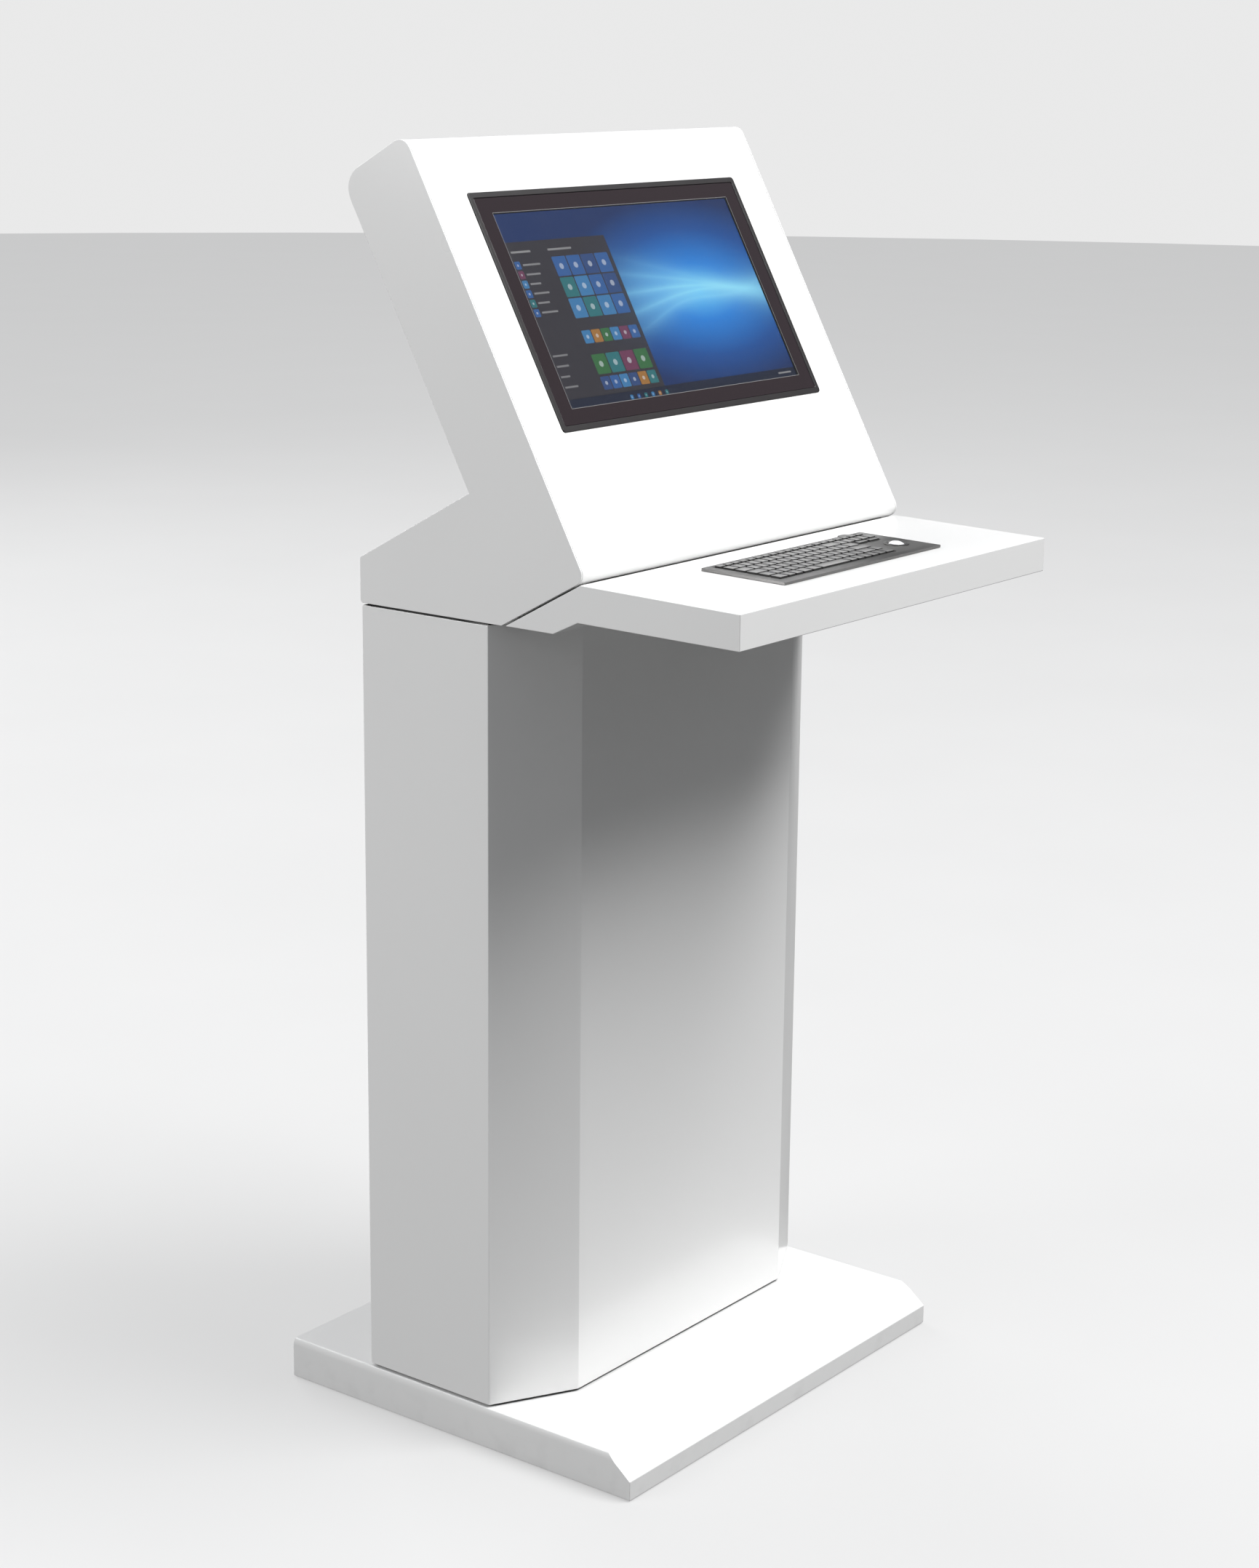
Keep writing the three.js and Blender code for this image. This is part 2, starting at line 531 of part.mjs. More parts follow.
function buildHeadShell() {
  const half = BODY_WIDTH / 2;
  const inner = half - SHEET - GAP;
  const flangeReach = 14;
  for (const [name, side] of [['head_left_side', -1], ['head_right_side', 1]]) {
    const spanX = (a, b) => (side < 0 ? [-b, -a] : [a, b]);
    const plate = alongX(headOutline(), ...spanX(half - SHEET, half));
    const flange = cut(
      alongX(headOutline(SHEET + GAP), ...spanX(half - flangeReach, half - 1)),
      alongX(headOutline(2 * SHEET + GAP), -half, half));
    add(kiosk, name, join(plate, flange), MATERIAL.white);
  }

  // Front: one sheet from under the nose, up the front, over the top and round the rear corner.
  const underReach = 128;
  const front = rounded([
    point(HEAD.depth, REAR_COVER.top), point(HEAD.depth, HEAD.length), point(0, HEAD.length),
    point(0, 0), point(underReach, 0),
  ], [0, HEAD.topRearRadius, HEAD.topFrontRadius, HEAD.noseRadius, 0], false, 8);
  const halfWide = SCREEN.bezelWidth / 2 + GAP;
  const halfHigh = SCREEN.bezelHeight / 2 + GAP;
  const screenHole = alongY(rectangle(-halfWide, halfWide, SCREEN.centre - halfHigh,
    SCREEN.centre + halfHigh, SCREEN.corner), -20, 20);
  add(head, 'head_front_shell', cut(
    alongX(sheetSection(front), -inner, inner), screenHole, deskCableHole()), MATERIAL.white);

  // Rear cover with two fields of cooling slots, held by four screws.
  const coverFoot = HEAD.neckHeight + 0.7;
  const skin = around(HEAD.depth, 15);
  const vents = [-130, 130].flatMap((x) => slots({ ...VENT, x, width: 150, z: 330, count: 8 }, skin));
  const screwPlaces = REAR_COVER.screwZ.flatMap((z) => [[-REAR_COVER.screwX, z], [REAR_COVER.screwX, z]]);
  const screwHoles = screwPlaces.map((at) => bar('y', 2.6, ...skin, at, 12));
  add(head, 'head_rear_cover', cut(
    box([-inner, inner], [HEAD.depth - SHEET, HEAD.depth], [coverFoot, REAR_COVER.top - 0.5]),
    vents, screwHoles), MATERIAL.white);
  screwPlaces.forEach((at, i) => {
    const dome = bar('y', 4.8, HEAD.depth + GAP, HEAD.depth + 2.2, at, 16);
    const socket = bar('y', 1.8, HEAD.depth + 1, HEAD.depth + 5, at, 6);
    add(head, `head_cover_screw_${i + 1}`, cut(join(
      dome, bar('y', 2.2, HEAD.depth - 10, HEAD.depth + 1, at, 12)), socket), MATERIAL.steel);
  });

  // Neck: one sheet from inside the concave corner, down the back and under to the front.
  const corner = fromHead(HEAD.depth - 1.5, HEAD.neckHeight);
  const slopeRun = (HEAD.neckBack - corner.x) * Math.tan(radians(HEAD.tilt));
  const neckFront = headUndersideCorner().x + 0.8;
  const neck = rounded([
    point(neckFront, HEAD.neckBottom), point(HEAD.neckBack, HEAD.neckBottom),
    point(HEAD.neckBack, corner.y - slopeRun), corner,
  ], [0, HEAD.smallRadius, HEAD.smallRadius, 0], false, 4);
  add(kiosk, 'head_neck_cover', cut(alongX(sheetSection(neck), -inner, inner),
    cableWay(NECK_HOLE, HEAD.neckBottom - CUT / 2)), MATERIAL.white);
}

// The way for the keyboard's cable from the desk into the head, in the head's frame.
function deskCableHole() {
  return box([-45, 45], [40, 90], [-40, 20]);
}

function buildDisplay() {
  const frame = (halfWide, halfHigh, radius) => rectangle(-halfWide, halfWide,
    SCREEN.centre - halfHigh, SCREEN.centre + halfHigh, radius);
  const wide = SCREEN.bezelWidth / 2;
  const high = SCREEN.bezelHeight / 2;
  const rim = SCREEN.bezelRim;
  add(head, 'screen_bezel', cut(
    alongY(frame(wide, high, SCREEN.corner), -SCREEN.bezelProud, SCREEN.glassBack),
    alongY(frame(wide - rim, high - rim, SCREEN.corner / 2), -20, 20)), MATERIAL.black);
  add(head, 'touch_glass', alongY(frame(wide - rim - GAP, high - rim - GAP, SCREEN.corner / 2),
    -SCREEN.glassProud, SCREEN.glassBack), MATERIAL.glass);
  add(head, 'lcd_panel', box(around(0, SCREEN.panelHalfWidth),
    [SCREEN.glassBack + GAP, SCREEN.panelBack], around(SCREEN.centre, SCREEN.panelHalfHeight)),
  MATERIAL.glass);

  const raised = box(around(0, CHASSIS.raisedHalfWidth),
    [CHASSIS.back - 1, CHASSIS.back + CHASSIS.raisedDepth],
    [SCREEN.centre - CHASSIS.raisedDown, SCREEN.centre + CHASSIS.raisedUp]);
  add(head, 'display_chassis', join(
    box(around(0, CHASSIS.halfWidth), [CHASSIS.front, CHASSIS.back],
      around(SCREEN.centre, CHASSIS.halfHeight)), raised), MATERIAL.zinc);

  // Two Z-shaped rails clamp the chassis to the back of the front sheet.
  for (const [name, side] of [['display_bracket_left', -1], ['display_bracket_right', 1]]) {
    const front = SHEET + GAP;
    const path = [point(side * RAIL.foot, front), point(side * RAIL.step, front),
      point(side * RAIL.step, CHASSIS.back + GAP), point(side * RAIL.hand, CHASSIS.back + GAP)];
    const section = side < 0 ? sheetSection(path) : sheetSection(path.reverse());
    add(head, name, alongZ(section, RAIL.bottom, RAIL.top), MATERIAL.zinc);
  }
}

// ---------------------------------------------------------------- keyboard desk
function deskOutline(distance = 0) {
  const points = [
    point(headUndersideY(DESK.bracketBottom), DESK.bracketBottom),
    point(headUndersideY(DESK.topBack), DESK.topBack),
    point(DESK.front, DESK.topFront), point(DESK.front, DESK.bottomFront),
    point(DESK.bracketFront, DESK.bottomBack), point(DESK.bracketToe, DESK.bracketBottom),
  ];
  return inset(points, distance);
}

function buildDesk() {
  const half = BODY_WIDTH / 2;
  const bottomAt = (y) => DESK.bottomFront + ((y - DESK.front) * (DESK.bottomBack - DESK.bottomFront))
    / (DESK.bracketFront - DESK.front);
  const coverBand = (from, to, below, above) => [
    point(to, bottomAt(to) - below), point(to, bottomAt(to) + above),
    point(from, bottomAt(from) + above), point(from, bottomAt(from) - below),
  ];
  const coverFront = DESK.front + 6;
  const coverBack = DESK.bracketFront - 7;
  const opening = alongX(coverBand(coverFront, coverBack, 5, 5), -half + 6, half - 6);

  const keyboardHole = geometryOf(box(
    [KEYBOARD.x - 153, KEYBOARD.x + 153],
    [KEYBOARD.back - KEYBOARD.depth + 4, KEYBOARD.back - 4], [-10, 10]));
  keyboardHole.rotateX(deskTilt).translate(0, desk.position.y, desk.position.z);
  const cableHole = geometryOf(deskCableHole());
  cableHole.rotateX(-radians(HEAD.tilt)).translate(0, HEAD.noseY, HEAD.noseZ);

  add(kiosk, 'tray_shell', cut(
    alongX(deskOutline(), -half, half), alongX(deskOutline(SHEET), -half + SHEET, half - SHEET),
    opening, solid(keyboardHole), solid(cableHole)), MATERIAL.white);
  add(kiosk, 'tray_bottom_cover', alongX(
    coverBand(coverFront + GAP, coverBack - GAP, 0, SHEET), -half + 6 + GAP, half - 6 - GAP),
  MATERIAL.white);
  add(head, 'tray_mount_gasket', cut(
    box([-285, 285], [12, 118], [-DESK.headGap + GAP, -GAP]), deskCableHole()), MATERIAL.rubber);
}

// ---------------------------------------------------------------- keyboard
// One row of keys on its carrier, in the desk's frame. Widths are in units of one key pitch.
function keyRow(left, centreY, widths, depth) {
  const keys = [];
  let x = left;
  for (const width of widths) {
    const reach = width * KEY.pitchX;
    if (width > 0) keys.push(keycap(x + KEY.gap / 2, x + reach - KEY.gap / 2, centreY, depth));
    x += Math.abs(reach);
  }
  const web = box([left + 2, x - 2], [centreY - 3, centreY + 3], [KEY.web, KEY.webTop]);
  return join(web, keys);
}

// A keycap with sloping flanks, down to its carrier.
function keycap(x0, x1, y, depth, bottom = KEY.webTop - 0.5) {
  const geometry = new THREE.BoxGeometry(x1 - x0, depth, KEY.top - bottom);
  const place = geometry.getAttribute('position');
  for (let i = 0; i < place.count; i += 1) {
    if (place.getZ(i) < 0) continue;
    place.setX(i, place.getX(i) - Math.sign(place.getX(i)) * KEY.taper);
    place.setY(i, place.getY(i) - Math.sign(place.getY(i)) * KEY.taper);
  }
  return solid(geometry.translate((x0 + x1) / 2, y, (KEY.top + bottom) / 2));
}

function buildKeyboard() {
  const left = KEYBOARD.x - KEYBOARD.width / 2;
  const right = KEYBOARD.x + KEYBOARD.width / 2;
  const front = KEYBOARD.back - KEYBOARD.depth;
  const plateTop = KEYBOARD.proud + KEYBOARD.thickness;
  const firstKey = left + KEY.marginX;
  const rowY = (row) => KEYBOARD.back - 24.8 - (row - 2) * KEY.pitchY;   // rows 2 to 6
  const depth = KEY.pitchY - KEY.gap;
  const functionRowY = KEYBOARD.back - 10.6;
  const repeat = (count, width = 1) => Array(count).fill(width);

  const rows = {
    function_key_row: keyRow(firstKey, functionRowY, repeat(20), 8),
    number_key_row: keyRow(firstKey, rowY(2), [...repeat(13), 2, ...repeat(5)], depth),
    upper_letter_key_row: keyRow(firstKey, rowY(3), [1.5, ...repeat(13), 1.5], depth),
    home_letter_key_row: keyRow(firstKey, rowY(4), [1.75, ...repeat(12), 2.25], depth),
    lower_letter_key_row: keyRow(firstKey, rowY(5), [1.25, ...repeat(12), 1.75, 1], depth),
    bottom_key_row: keyRow(firstKey, rowY(6), [1.25, 1, 1, 1.25, 1.25, -4, ...repeat(5), 1.25], depth),
  };
  for (const [name, row] of Object.entries(rows)) add(desk, name, row, MATERIAL.steel);
  const spaceLeft = firstKey + 5.75 * KEY.pitchX + KEY.gap / 2;
  const spaceRight = spaceLeft + 4 * KEY.pitchX - KEY.gap;
  add(desk, 'space_bar', keycap(spaceLeft, spaceRight, rowY(6), depth, KEY.liftedBottom), MATERIAL.steel);

  // Two buttons above the ball.
  const buttonY = rowY(3) + 2;
  const { x: middle, width, split, depth: buttonDepth } = MOUSE_BUTTONS;
  for (const [name, side] of [['mouse_button_left', -1], ['mouse_button_right', 1]]) {
    const centre = middle + (side * (width + split)) / 2;
    add(desk, name, keycap(centre - width / 2, centre + width / 2, buttonY, buttonDepth,
      KEY.liftedBottom), MATERIAL.steel);
  }

  // Plate with one opening for the key field, one for the buttons and one for the ball.
  const z = [KEYBOARD.proud, plateTop];
  const fieldRight = firstKey + KEY.units * KEY.pitchX + 1;
  const wideRight = firstKey + KEY.wideUnits * KEY.pitchX + 1;
  const fieldBack = functionRowY + 5.2;
  const field = join(
    box([firstKey - 1, fieldRight], [rowY(6) - depth / 2 - 1, fieldBack], [-5, 10]),
    box([firstKey - 1, wideRight], [rowY(2) - depth / 2 - 1, fieldBack], [-5, 10]));
  const buttonReach = width + split / 2 + 1;
  const buttonHole = box([middle - buttonReach, middle + buttonReach],
    [buttonY - buttonDepth / 2 - 1, buttonY + buttonDepth / 2 + 1], [-5, 10]);
  const ballHole = bar('z', BALL.plateHole, -5, 10, [BALL.x, BALL.y], 32);
  add(desk, 'keyboard_plate', cut(
    alongZ(rectangle(left, right, front, KEYBOARD.back, 1), ...z), field, buttonHole, ballHole),
  MATERIAL.steel);

  // Case below the plate, with the switch board and the ball's socket in it.
  const wall = 1.5;
  const caseX = [left + 5.5, right - 5.5];
  const caseY = [front + 5, KEYBOARD.back - 5];
  const cavity = box([caseX[0] + wall, caseX[1] - wall], [caseY[0] + wall, caseY[1] - wall], [-24.5, 10]);
  const cableExit = bar('y', 3.4, caseY[1] - 5, caseY[1] + 5, [KEYBOARD.x, -17], 12);
  add(desk, 'keyboard_case', cut(box(caseX, caseY, [-26, 0]), cavity, cableExit), MATERIAL.zinc);
  add(desk, 'keyboard_circuit_board', box(
    [caseX[0] + wall + GAP, BALL.x - 22], [caseY[0] + wall + GAP, caseY[1] - wall - GAP], [-8, -6.4]),
  MATERIAL.board);
  const ballCentre = [BALL.x, BALL.y, BALL.z];
  add(desk, 'trackball', ballSolid(BALL.radius, ballCentre), MATERIAL.ball);
  const cup = bar('z', 19.5, -24.2, -0.3, [BALL.x, BALL.y], 24);
  add(desk, 'trackball_socket', cut(cup, ballSolid(BALL.radius + 0.9, ballCentre, 16),
    bar('z', BALL.radius + 0.9, BALL.z, 5, [BALL.x, BALL.y], 16)), MATERIAL.plastic);
  const ring = cut(bar('z', BALL.ringRadius, plateTop + GAP, plateTop + 1.1, [BALL.x, BALL.y], 32),
    bar('z', BALL.ringHole, 0, 10, [BALL.x, BALL.y], 32));
  add(desk, 'trackball_ring', ring, MATERIAL.steel);
}

// ---------------------------------------------------------------- cables inside
function buildCables() {
  const inHead = (x, depth, height) => {
    const place = fromHead(depth, height);
    return [x, place.x, place.y];
  };
  const computerTop = SHELF_Z + 30;
  add(kiosk, 'mains_lead', cableGeometry([
    [INLET.x, 104.6, INLET.z], [INLET.x, 92, INLET.z + 3], [INLET.x - 30, 70, INLET.z + 60],
    [INLET.x - 55, 102, INLET.z + 200], [INLET.x - 55, 108, SHELF_Z - 30],
    [INLET.x - 50, 104, SHELF_Z + 40], [INLET.x - 20, 60, SHELF_Z + 42],
    [INLET.x - 5, 30, SHELF_Z + 21], [INLET.x - 5, 16, SHELF_Z + 20],
  ], 4, 36), MATERIAL.rubber);
  add(kiosk, 'display_cable', cableGeometry([
    [0, 82, computerTop], [0, 95, computerTop + 4], [10, 101, computerTop + 60],
    [30, 80, 640], [50, 40, 800], [60, 30, 930], [60, 35, 1000],
    inHead(60, 110, 60), inHead(60, 80, 130), inHead(60, 58, 180), inHead(60, 54, 215.6),
  ], 3.5, 40), MATERIAL.rubber);
  add(kiosk, 'keyboard_cable', cableGeometry([
    [KEYBOARD.x, -229, 1026], [KEYBOARD.x, -200, 1021], [KEYBOARD.x, -165, 1018],
    inHead(KEYBOARD.x, 62, -4), inHead(KEYBOARD.x, 68, 20), [-10, -60, 1010], [-20, -10, 1000],
    [-25, 10, 960], [-20, 30, 800], [-20, 60, 640], [-20, 98, computerTop + 60],
    [-20, 95, computerTop + 8], [-20, 82, computerTop + 4],
  ], 2.6, 48), MATERIAL.rubber);
}

buildBase();
buildColumn();
buildRear();
buildEquipment();
buildHeadShell();
buildDisplay();
buildDesk();
buildKeyboard();
buildCables();

export default kiosk;
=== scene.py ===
import json
import math

import bmesh
import bpy
from mathutils import Matrix, Vector


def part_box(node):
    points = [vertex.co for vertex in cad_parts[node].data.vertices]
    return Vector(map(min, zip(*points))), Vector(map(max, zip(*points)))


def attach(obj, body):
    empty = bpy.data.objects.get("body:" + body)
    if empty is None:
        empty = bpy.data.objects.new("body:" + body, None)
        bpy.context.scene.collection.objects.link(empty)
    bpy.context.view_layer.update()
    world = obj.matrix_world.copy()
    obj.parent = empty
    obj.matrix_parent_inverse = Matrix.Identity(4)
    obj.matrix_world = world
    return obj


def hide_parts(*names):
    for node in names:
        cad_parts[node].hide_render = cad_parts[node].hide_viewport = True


# A free-standing touchscreen kiosk. Metres, +Z up, -Y is the front. Small pieces are drawn in
# millimetres in the frame of the desk or of the CAD model, and then placed.
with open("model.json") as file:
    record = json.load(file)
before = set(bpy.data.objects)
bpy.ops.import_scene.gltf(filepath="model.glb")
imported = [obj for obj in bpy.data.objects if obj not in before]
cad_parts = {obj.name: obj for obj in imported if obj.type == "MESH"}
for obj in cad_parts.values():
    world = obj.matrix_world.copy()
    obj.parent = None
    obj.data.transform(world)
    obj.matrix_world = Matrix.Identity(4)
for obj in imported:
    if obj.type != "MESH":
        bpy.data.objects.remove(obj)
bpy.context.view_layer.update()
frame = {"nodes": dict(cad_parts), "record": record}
NODES = frame["nodes"]
MM = 0.001

# ---------------------------------------------------------------- places, from the CAD model
DESK_ORIGIN = Vector((0, -0.117227, 1.0445))     # rear edge of the desk's top
DESK_TILT = math.radians(1.3736)
HEAD_ORIGIN = Vector((0, -0.12225, 1.05))        # foot of the head's leaning front
HEAD_TILT = math.radians(28.8)
SCREEN_CENTRE = 0.3065                           # up the front, from the head's origin
SCREEN_HALF = (217.0, 116.0)                     # half of the lit picture, in millimetres

DESK = Matrix.Translation(DESK_ORIGIN) @ Matrix.Rotation(DESK_TILT, 4, "X") @ Matrix.Scale(MM, 4)
MODEL_SHIFT = 64.25                              # how far the model is moved back, in millimetres
MODEL = Matrix.Translation((0, MODEL_SHIFT * MM, 0)) @ Matrix.Scale(MM, 4)

# The keyboard, in the desk's frame.
PITCH_X, PITCH_Y, KEY_GAP = 14.4, 15.9, 1.7
FIRST_KEY_X = -137.5
FUNCTION_ROW_Y = -53.6
NUMBER_ROW_Y = -67.8
BOTTOM_ROW_Y = NUMBER_ROW_Y - 4 * PITCH_Y
KEY_TOP = 4.9
PLATE_TOP = 3.3
BALL = Vector((131, -115, -6.9))
BALL_RADIUS = 14


# ---------------------------------------------------------------- camera
CAMERA_PLACE = (-2.79, -2.08355, 1.6334)
CAMERA_ANGLES = (-52.577, 14.29, 0.579)          # azimuth, elevation and roll, in degrees
CAMERA_LENS = 69.36


def camera():
    azimuth, elevation, roll = (math.radians(angle) for angle in CAMERA_ANGLES)
    right = Vector((math.cos(azimuth), math.sin(azimuth), 0))
    back = Vector((math.sin(azimuth) * math.cos(elevation),
                   -math.cos(azimuth) * math.cos(elevation), math.sin(elevation)))
    up = back.cross(right)
    rolled_right = math.cos(roll) * right + math.sin(roll) * up
    rolled_up = math.cos(roll) * up - math.sin(roll) * right
    data = bpy.data.cameras.new("camera")
    data.sensor_width = 36
    data.lens = CAMERA_LENS
    data.clip_start, data.clip_end = 0.05, 100
    seen = bpy.data.objects.new("camera", data)
    turned = Matrix((rolled_right, rolled_up, back)).transposed().to_4x4()
    seen.matrix_world = Matrix.Translation(CAMERA_PLACE) @ turned
    bpy.context.scene.collection.objects.link(seen)
    bpy.context.scene.camera = seen


# ---------------------------------------------------------------- node trees
class Tree:
    """One material's nodes. Each method adds a node and returns what comes out of it."""

    def __init__(self, name):
        self.material = bpy.data.materials.new(name)
        self.material.use_nodes = True
        self.nodes = self.material.node_tree.nodes
        self.links = self.material.node_tree.links
        self.shader = self.nodes["Principled BSDF"]

    def put(self, socket, value):
        if isinstance(value, bpy.types.NodeSocket):
            self.links.new(value, socket)
        else:
            socket.default_value = value

    def set(self, **values):
        for name, value in values.items():
            self.put(self.shader.inputs[name.replace("_", " ").title().replace("Ior", "IOR")], value)

    def math(self, operation, *values, clamp=False):
        node = self.nodes.new("ShaderNodeMath")
        node.operation = operation
        node.use_clamp = clamp
        for socket, value in zip(node.inputs, values):
            self.put(socket, value)
        return node.outputs[0]

    def vector(self, operation, first, second):
        node = self.nodes.new("ShaderNodeVectorMath")
        node.operation = operation
        self.put(node.inputs[0], first)
        self.put(node.inputs[1], second)
        return node.outputs["Value"] if operation == "DOT_PRODUCT" else node.outputs["Vector"]

    def position(self):
        return self.nodes.new("ShaderNodeTexCoord").outputs["Object"]

    def split(self, vector):
        node = self.nodes.new("ShaderNodeSeparateXYZ")
        self.put(node.inputs[0], vector)
        return node.outputs

    def noise(self, scale, detail=2.0, at=None):
        node = self.nodes.new("ShaderNodeTexNoise")
        node.inputs["Scale"].default_value = scale
        node.inputs["Detail"].default_value = detail
        self.put(node.inputs["Vector"], self.position() if at is None else at)
        return node.outputs["Fac"]

    def span(self, value, low, high, to_low=0.0, to_high=1.0, smooth=False):
        node = self.nodes.new("ShaderNodeMapRange")
        node.interpolation_type = "SMOOTHSTEP" if smooth else "LINEAR"
        for socket, number in zip(node.inputs, (value, low, high, to_low, to_high)):
            self.put(socket, number)
        return node.outputs[0]

    def mix(self, share, first, second):
        node = self.nodes.new("ShaderNodeMix")
        node.data_type = "RGBA"
        self.put(node.inputs[0], share)
        for socket, colour in zip(node.inputs[6:8], (first, second)):
            self.put(socket, colour if isinstance(colour, bpy.types.NodeSocket) else (*colour, 1))
        return node.outputs[2]

    def facing(self, direction, low, high, at_low, at_high):
        """A number that grows from one value to another as a surface turns to a direction."""
        normal = self.nodes.new("ShaderNodeTexCoord").outputs["Normal"]
        return self.span(self.vector("DOT_PRODUCT", normal, direction), low, high, at_low, at_high)

    def bump(self, height, depth, strength=1.0):
        node = self.nodes.new("ShaderNodeBump")
        node.inputs["Distance"].default_value = depth
        node.inputs["Strength"].default_value = strength
        self.put(node.inputs["Height"], height)
        self.put(self.shader.inputs["Normal"], node.outputs[0])

    def ramp(self, value, stops):
        node = self.nodes.new("ShaderNodeValToRGB")
        elements = node.color_ramp.elements
        while len(elements) < len(stops):
            elements.new(0.5)
        for element, (place, colour) in zip(elements, stops):
            element.position = place
            element.color = (*colour, 1)
        self.put(node.inputs[0], value)
        return node.outputs[0]


# ---------------------------------------------------------------- materials
def painted(name, colour, roughness, coat, grain, speck):
    """Powder coat: a faint orange peel, a little drift in gloss, and scuffs close to the floor."""
    tree = Tree(name)
    drift = tree.noise(3.0, 0)
    base = tree.mix(drift, [c * 0.985 for c in colour], [min(c * 1.01, 1) for c in colour])
    height = tree.split(tree.position())[2]
    low = tree.span(height, 0.0, 0.06, 1.0, 0.0, smooth=True)
    patches = tree.span(tree.noise(38.0, 5), 0.5, 0.72)
    scuffed = tree.math("MULTIPLY", tree.math("MULTIPLY", low, patches), 0.16)
    tree.set(base_color=tree.mix(scuffed, base, [c * 0.55 for c in colour]))
    cloud = tree.span(tree.noise(9.0, 0), 0.1, 0.9, roughness - 0.03, roughness + 0.04)
    tree.set(roughness=tree.math("ADD", cloud, scuffed))
    tree.set(coat_weight=coat, coat_roughness=0.12)
    peel = tree.noise(grain, 1.5)
    fine = tree.noise(grain * 4.2, 1)
    tree.bump(tree.math("ADD", peel, tree.math("MULTIPLY", fine, speck)), 0.000014, 0.55)
    return tree.material


def brushed(name, colour, roughness, along=0):
    """Steel brushed along one axis: long fine scratches in gloss, tone and height."""
    tree = Tree(name)
    stretch = [900.0, 900.0, 900.0]
    stretch[along] = 14.0
    lines = tree.noise(1.0, 6, at=tree.vector("MULTIPLY", tree.position(), stretch))
    smear = tree.noise(24.0, 3)
    tree.set(metallic=1.0, anisotropic=0.55)
    tree.set(base_color=tree.mix(lines, [c * 0.84 for c in colour], [c * 1.1 for c in colour]))
    tone = tree.math("ADD", tree.math("MULTIPLY", lines, 0.16), tree.math("MULTIPLY", smear, 0.1))
    tree.set(roughness=tree.math("ADD", tone, roughness - 0.12))
    tree.bump(lines, 0.00003, 0.5)
    return tree.material


def metal(name, colour, roughness, grain=1400.0, spangle=0.0):
    """Plated or blasted metal. spangle is how strongly the patches of a zinc coat show."""
    tree = Tree(name)
    blast = tree.noise(grain, 3)
    patches = tree.noise(70.0, 1)
    shade = tree.math("ADD", tree.math("MULTIPLY", blast, 0.5), tree.math("MULTIPLY", patches, spangle))
    tree.set(metallic=1.0)
    tree.set(base_color=tree.mix(shade, [c * 0.88 for c in colour], [min(c * 1.08, 1) for c in colour]))
    tree.set(roughness=tree.span(tree.noise(55.0, 3), 0.3, 0.7, roughness - 0.04, roughness + 0.06))
    tree.bump(blast, 0.00002, 0.5)
    return tree.material


def key_steel(name, colour, roughness):
    """Blasted steel with painted shade: key flanks that turn from the desk's top are painted darker
    than the tops.
    """
    tree = Tree(name)
    blast = tree.noise(1400.0, 3)
    desk_up = (0, -math.sin(DESK_TILT), math.cos(DESK_TILT))
    unshaded_top = tree.facing(desk_up, 0.55, 0.96, 0.0, 1.0)
    top = tree.mix(blast, [c * 0.88 for c in colour], [c * 1.08 for c in colour])
    tree.set(metallic=tree.span(unshaded_top, 0.0, 1.0, 0.5, 1.0))
    # Painted shade: the colour drops to 8% of the steel's on faces that turn away from the desk's top.
    tree.set(base_color=tree.mix(unshaded_top, [c * 0.08 for c in colour], top))
    tree.set(roughness=tree.span(unshaded_top, 0.0, 1.0, roughness + 0.25, roughness))
    tree.bump(blast, 0.00002, 0.5)
    return tree.material


def moulded(name, colour, roughness, grain=900.0, depth=0.00005, sheen=0.0):
    """Moulded plastic or rubber with a fine grain and a little dust in its tone."""
    tree = Tree(name)
    pores = tree.noise(grain, 3)
    dust = tree.span(tree.noise(30.0, 4), 0.45, 0.8, 0.0, 0.25)
    tree.set(base_color=tree.mix(dust, colour, [min(c * 1.6 + 0.01, 1) for c in colour]))
    tree.set(roughness=tree.span(pores, 0.2, 0.8, roughness - 0.06, roughness + 0.06))
    tree.set(sheen_weight=sheen)
    tree.bump(pores, depth, 0.6)
    return tree.material


def polished_resin(name):
    tree = Tree(name)
    cloud = tree.noise(120.0, 4)
    tree.set(base_color=tree.mix(cloud, (0.80, 0.80, 0.81), (0.93, 0.93, 0.94)))
    tree.set(roughness=tree.span(tree.noise(300.0, 2), 0.3, 0.7, 0.05, 0.13))
    tree.set(coat_weight=0.6, coat_roughness=0.03, metallic=0.25)
    return tree.material


def circuit_board(name):
    tree = Tree(name)
    x, y, _ = tree.split(tree.position())
    tracks = tree.math("MULTIPLY", tree.math("SINE", tree.math("MULTIPLY", x, 2200.0)),
                       tree.math("SINE", tree.math("MULTIPLY", y, 2600.0)))
    line = tree.span(tracks, 0.1, 0.3)
    tree.set(base_color=tree.mix(line, (0.008, 0.05, 0.025), (0.012, 0.09, 0.04)))
    tree.set(roughness=tree.span(tree.noise(400.0), 0.3, 0.7, 0.3, 0.45), coat_weight=0.4)
    tree.bump(line, 0.00003)
    return tree.material


# ---------------------------------------------------------------- the screen
def screen_place(tree):
    """Across and up the screen from its centre, in millimetres."""
    across, _, _ = tree.split(tree.position())
    up = (0, math.sin(HEAD_TILT), math.cos(HEAD_TILT))
    centre = HEAD_ORIGIN.dot(Vector(up)) + SCREEN_CENTRE
    climb = tree.vector("DOT_PRODUCT", tree.position(), up)
    return (tree.math("MULTIPLY", across, 1000.0),
            tree.math("MULTIPLY", tree.math("SUBTRACT", climb, centre), 1000.0))


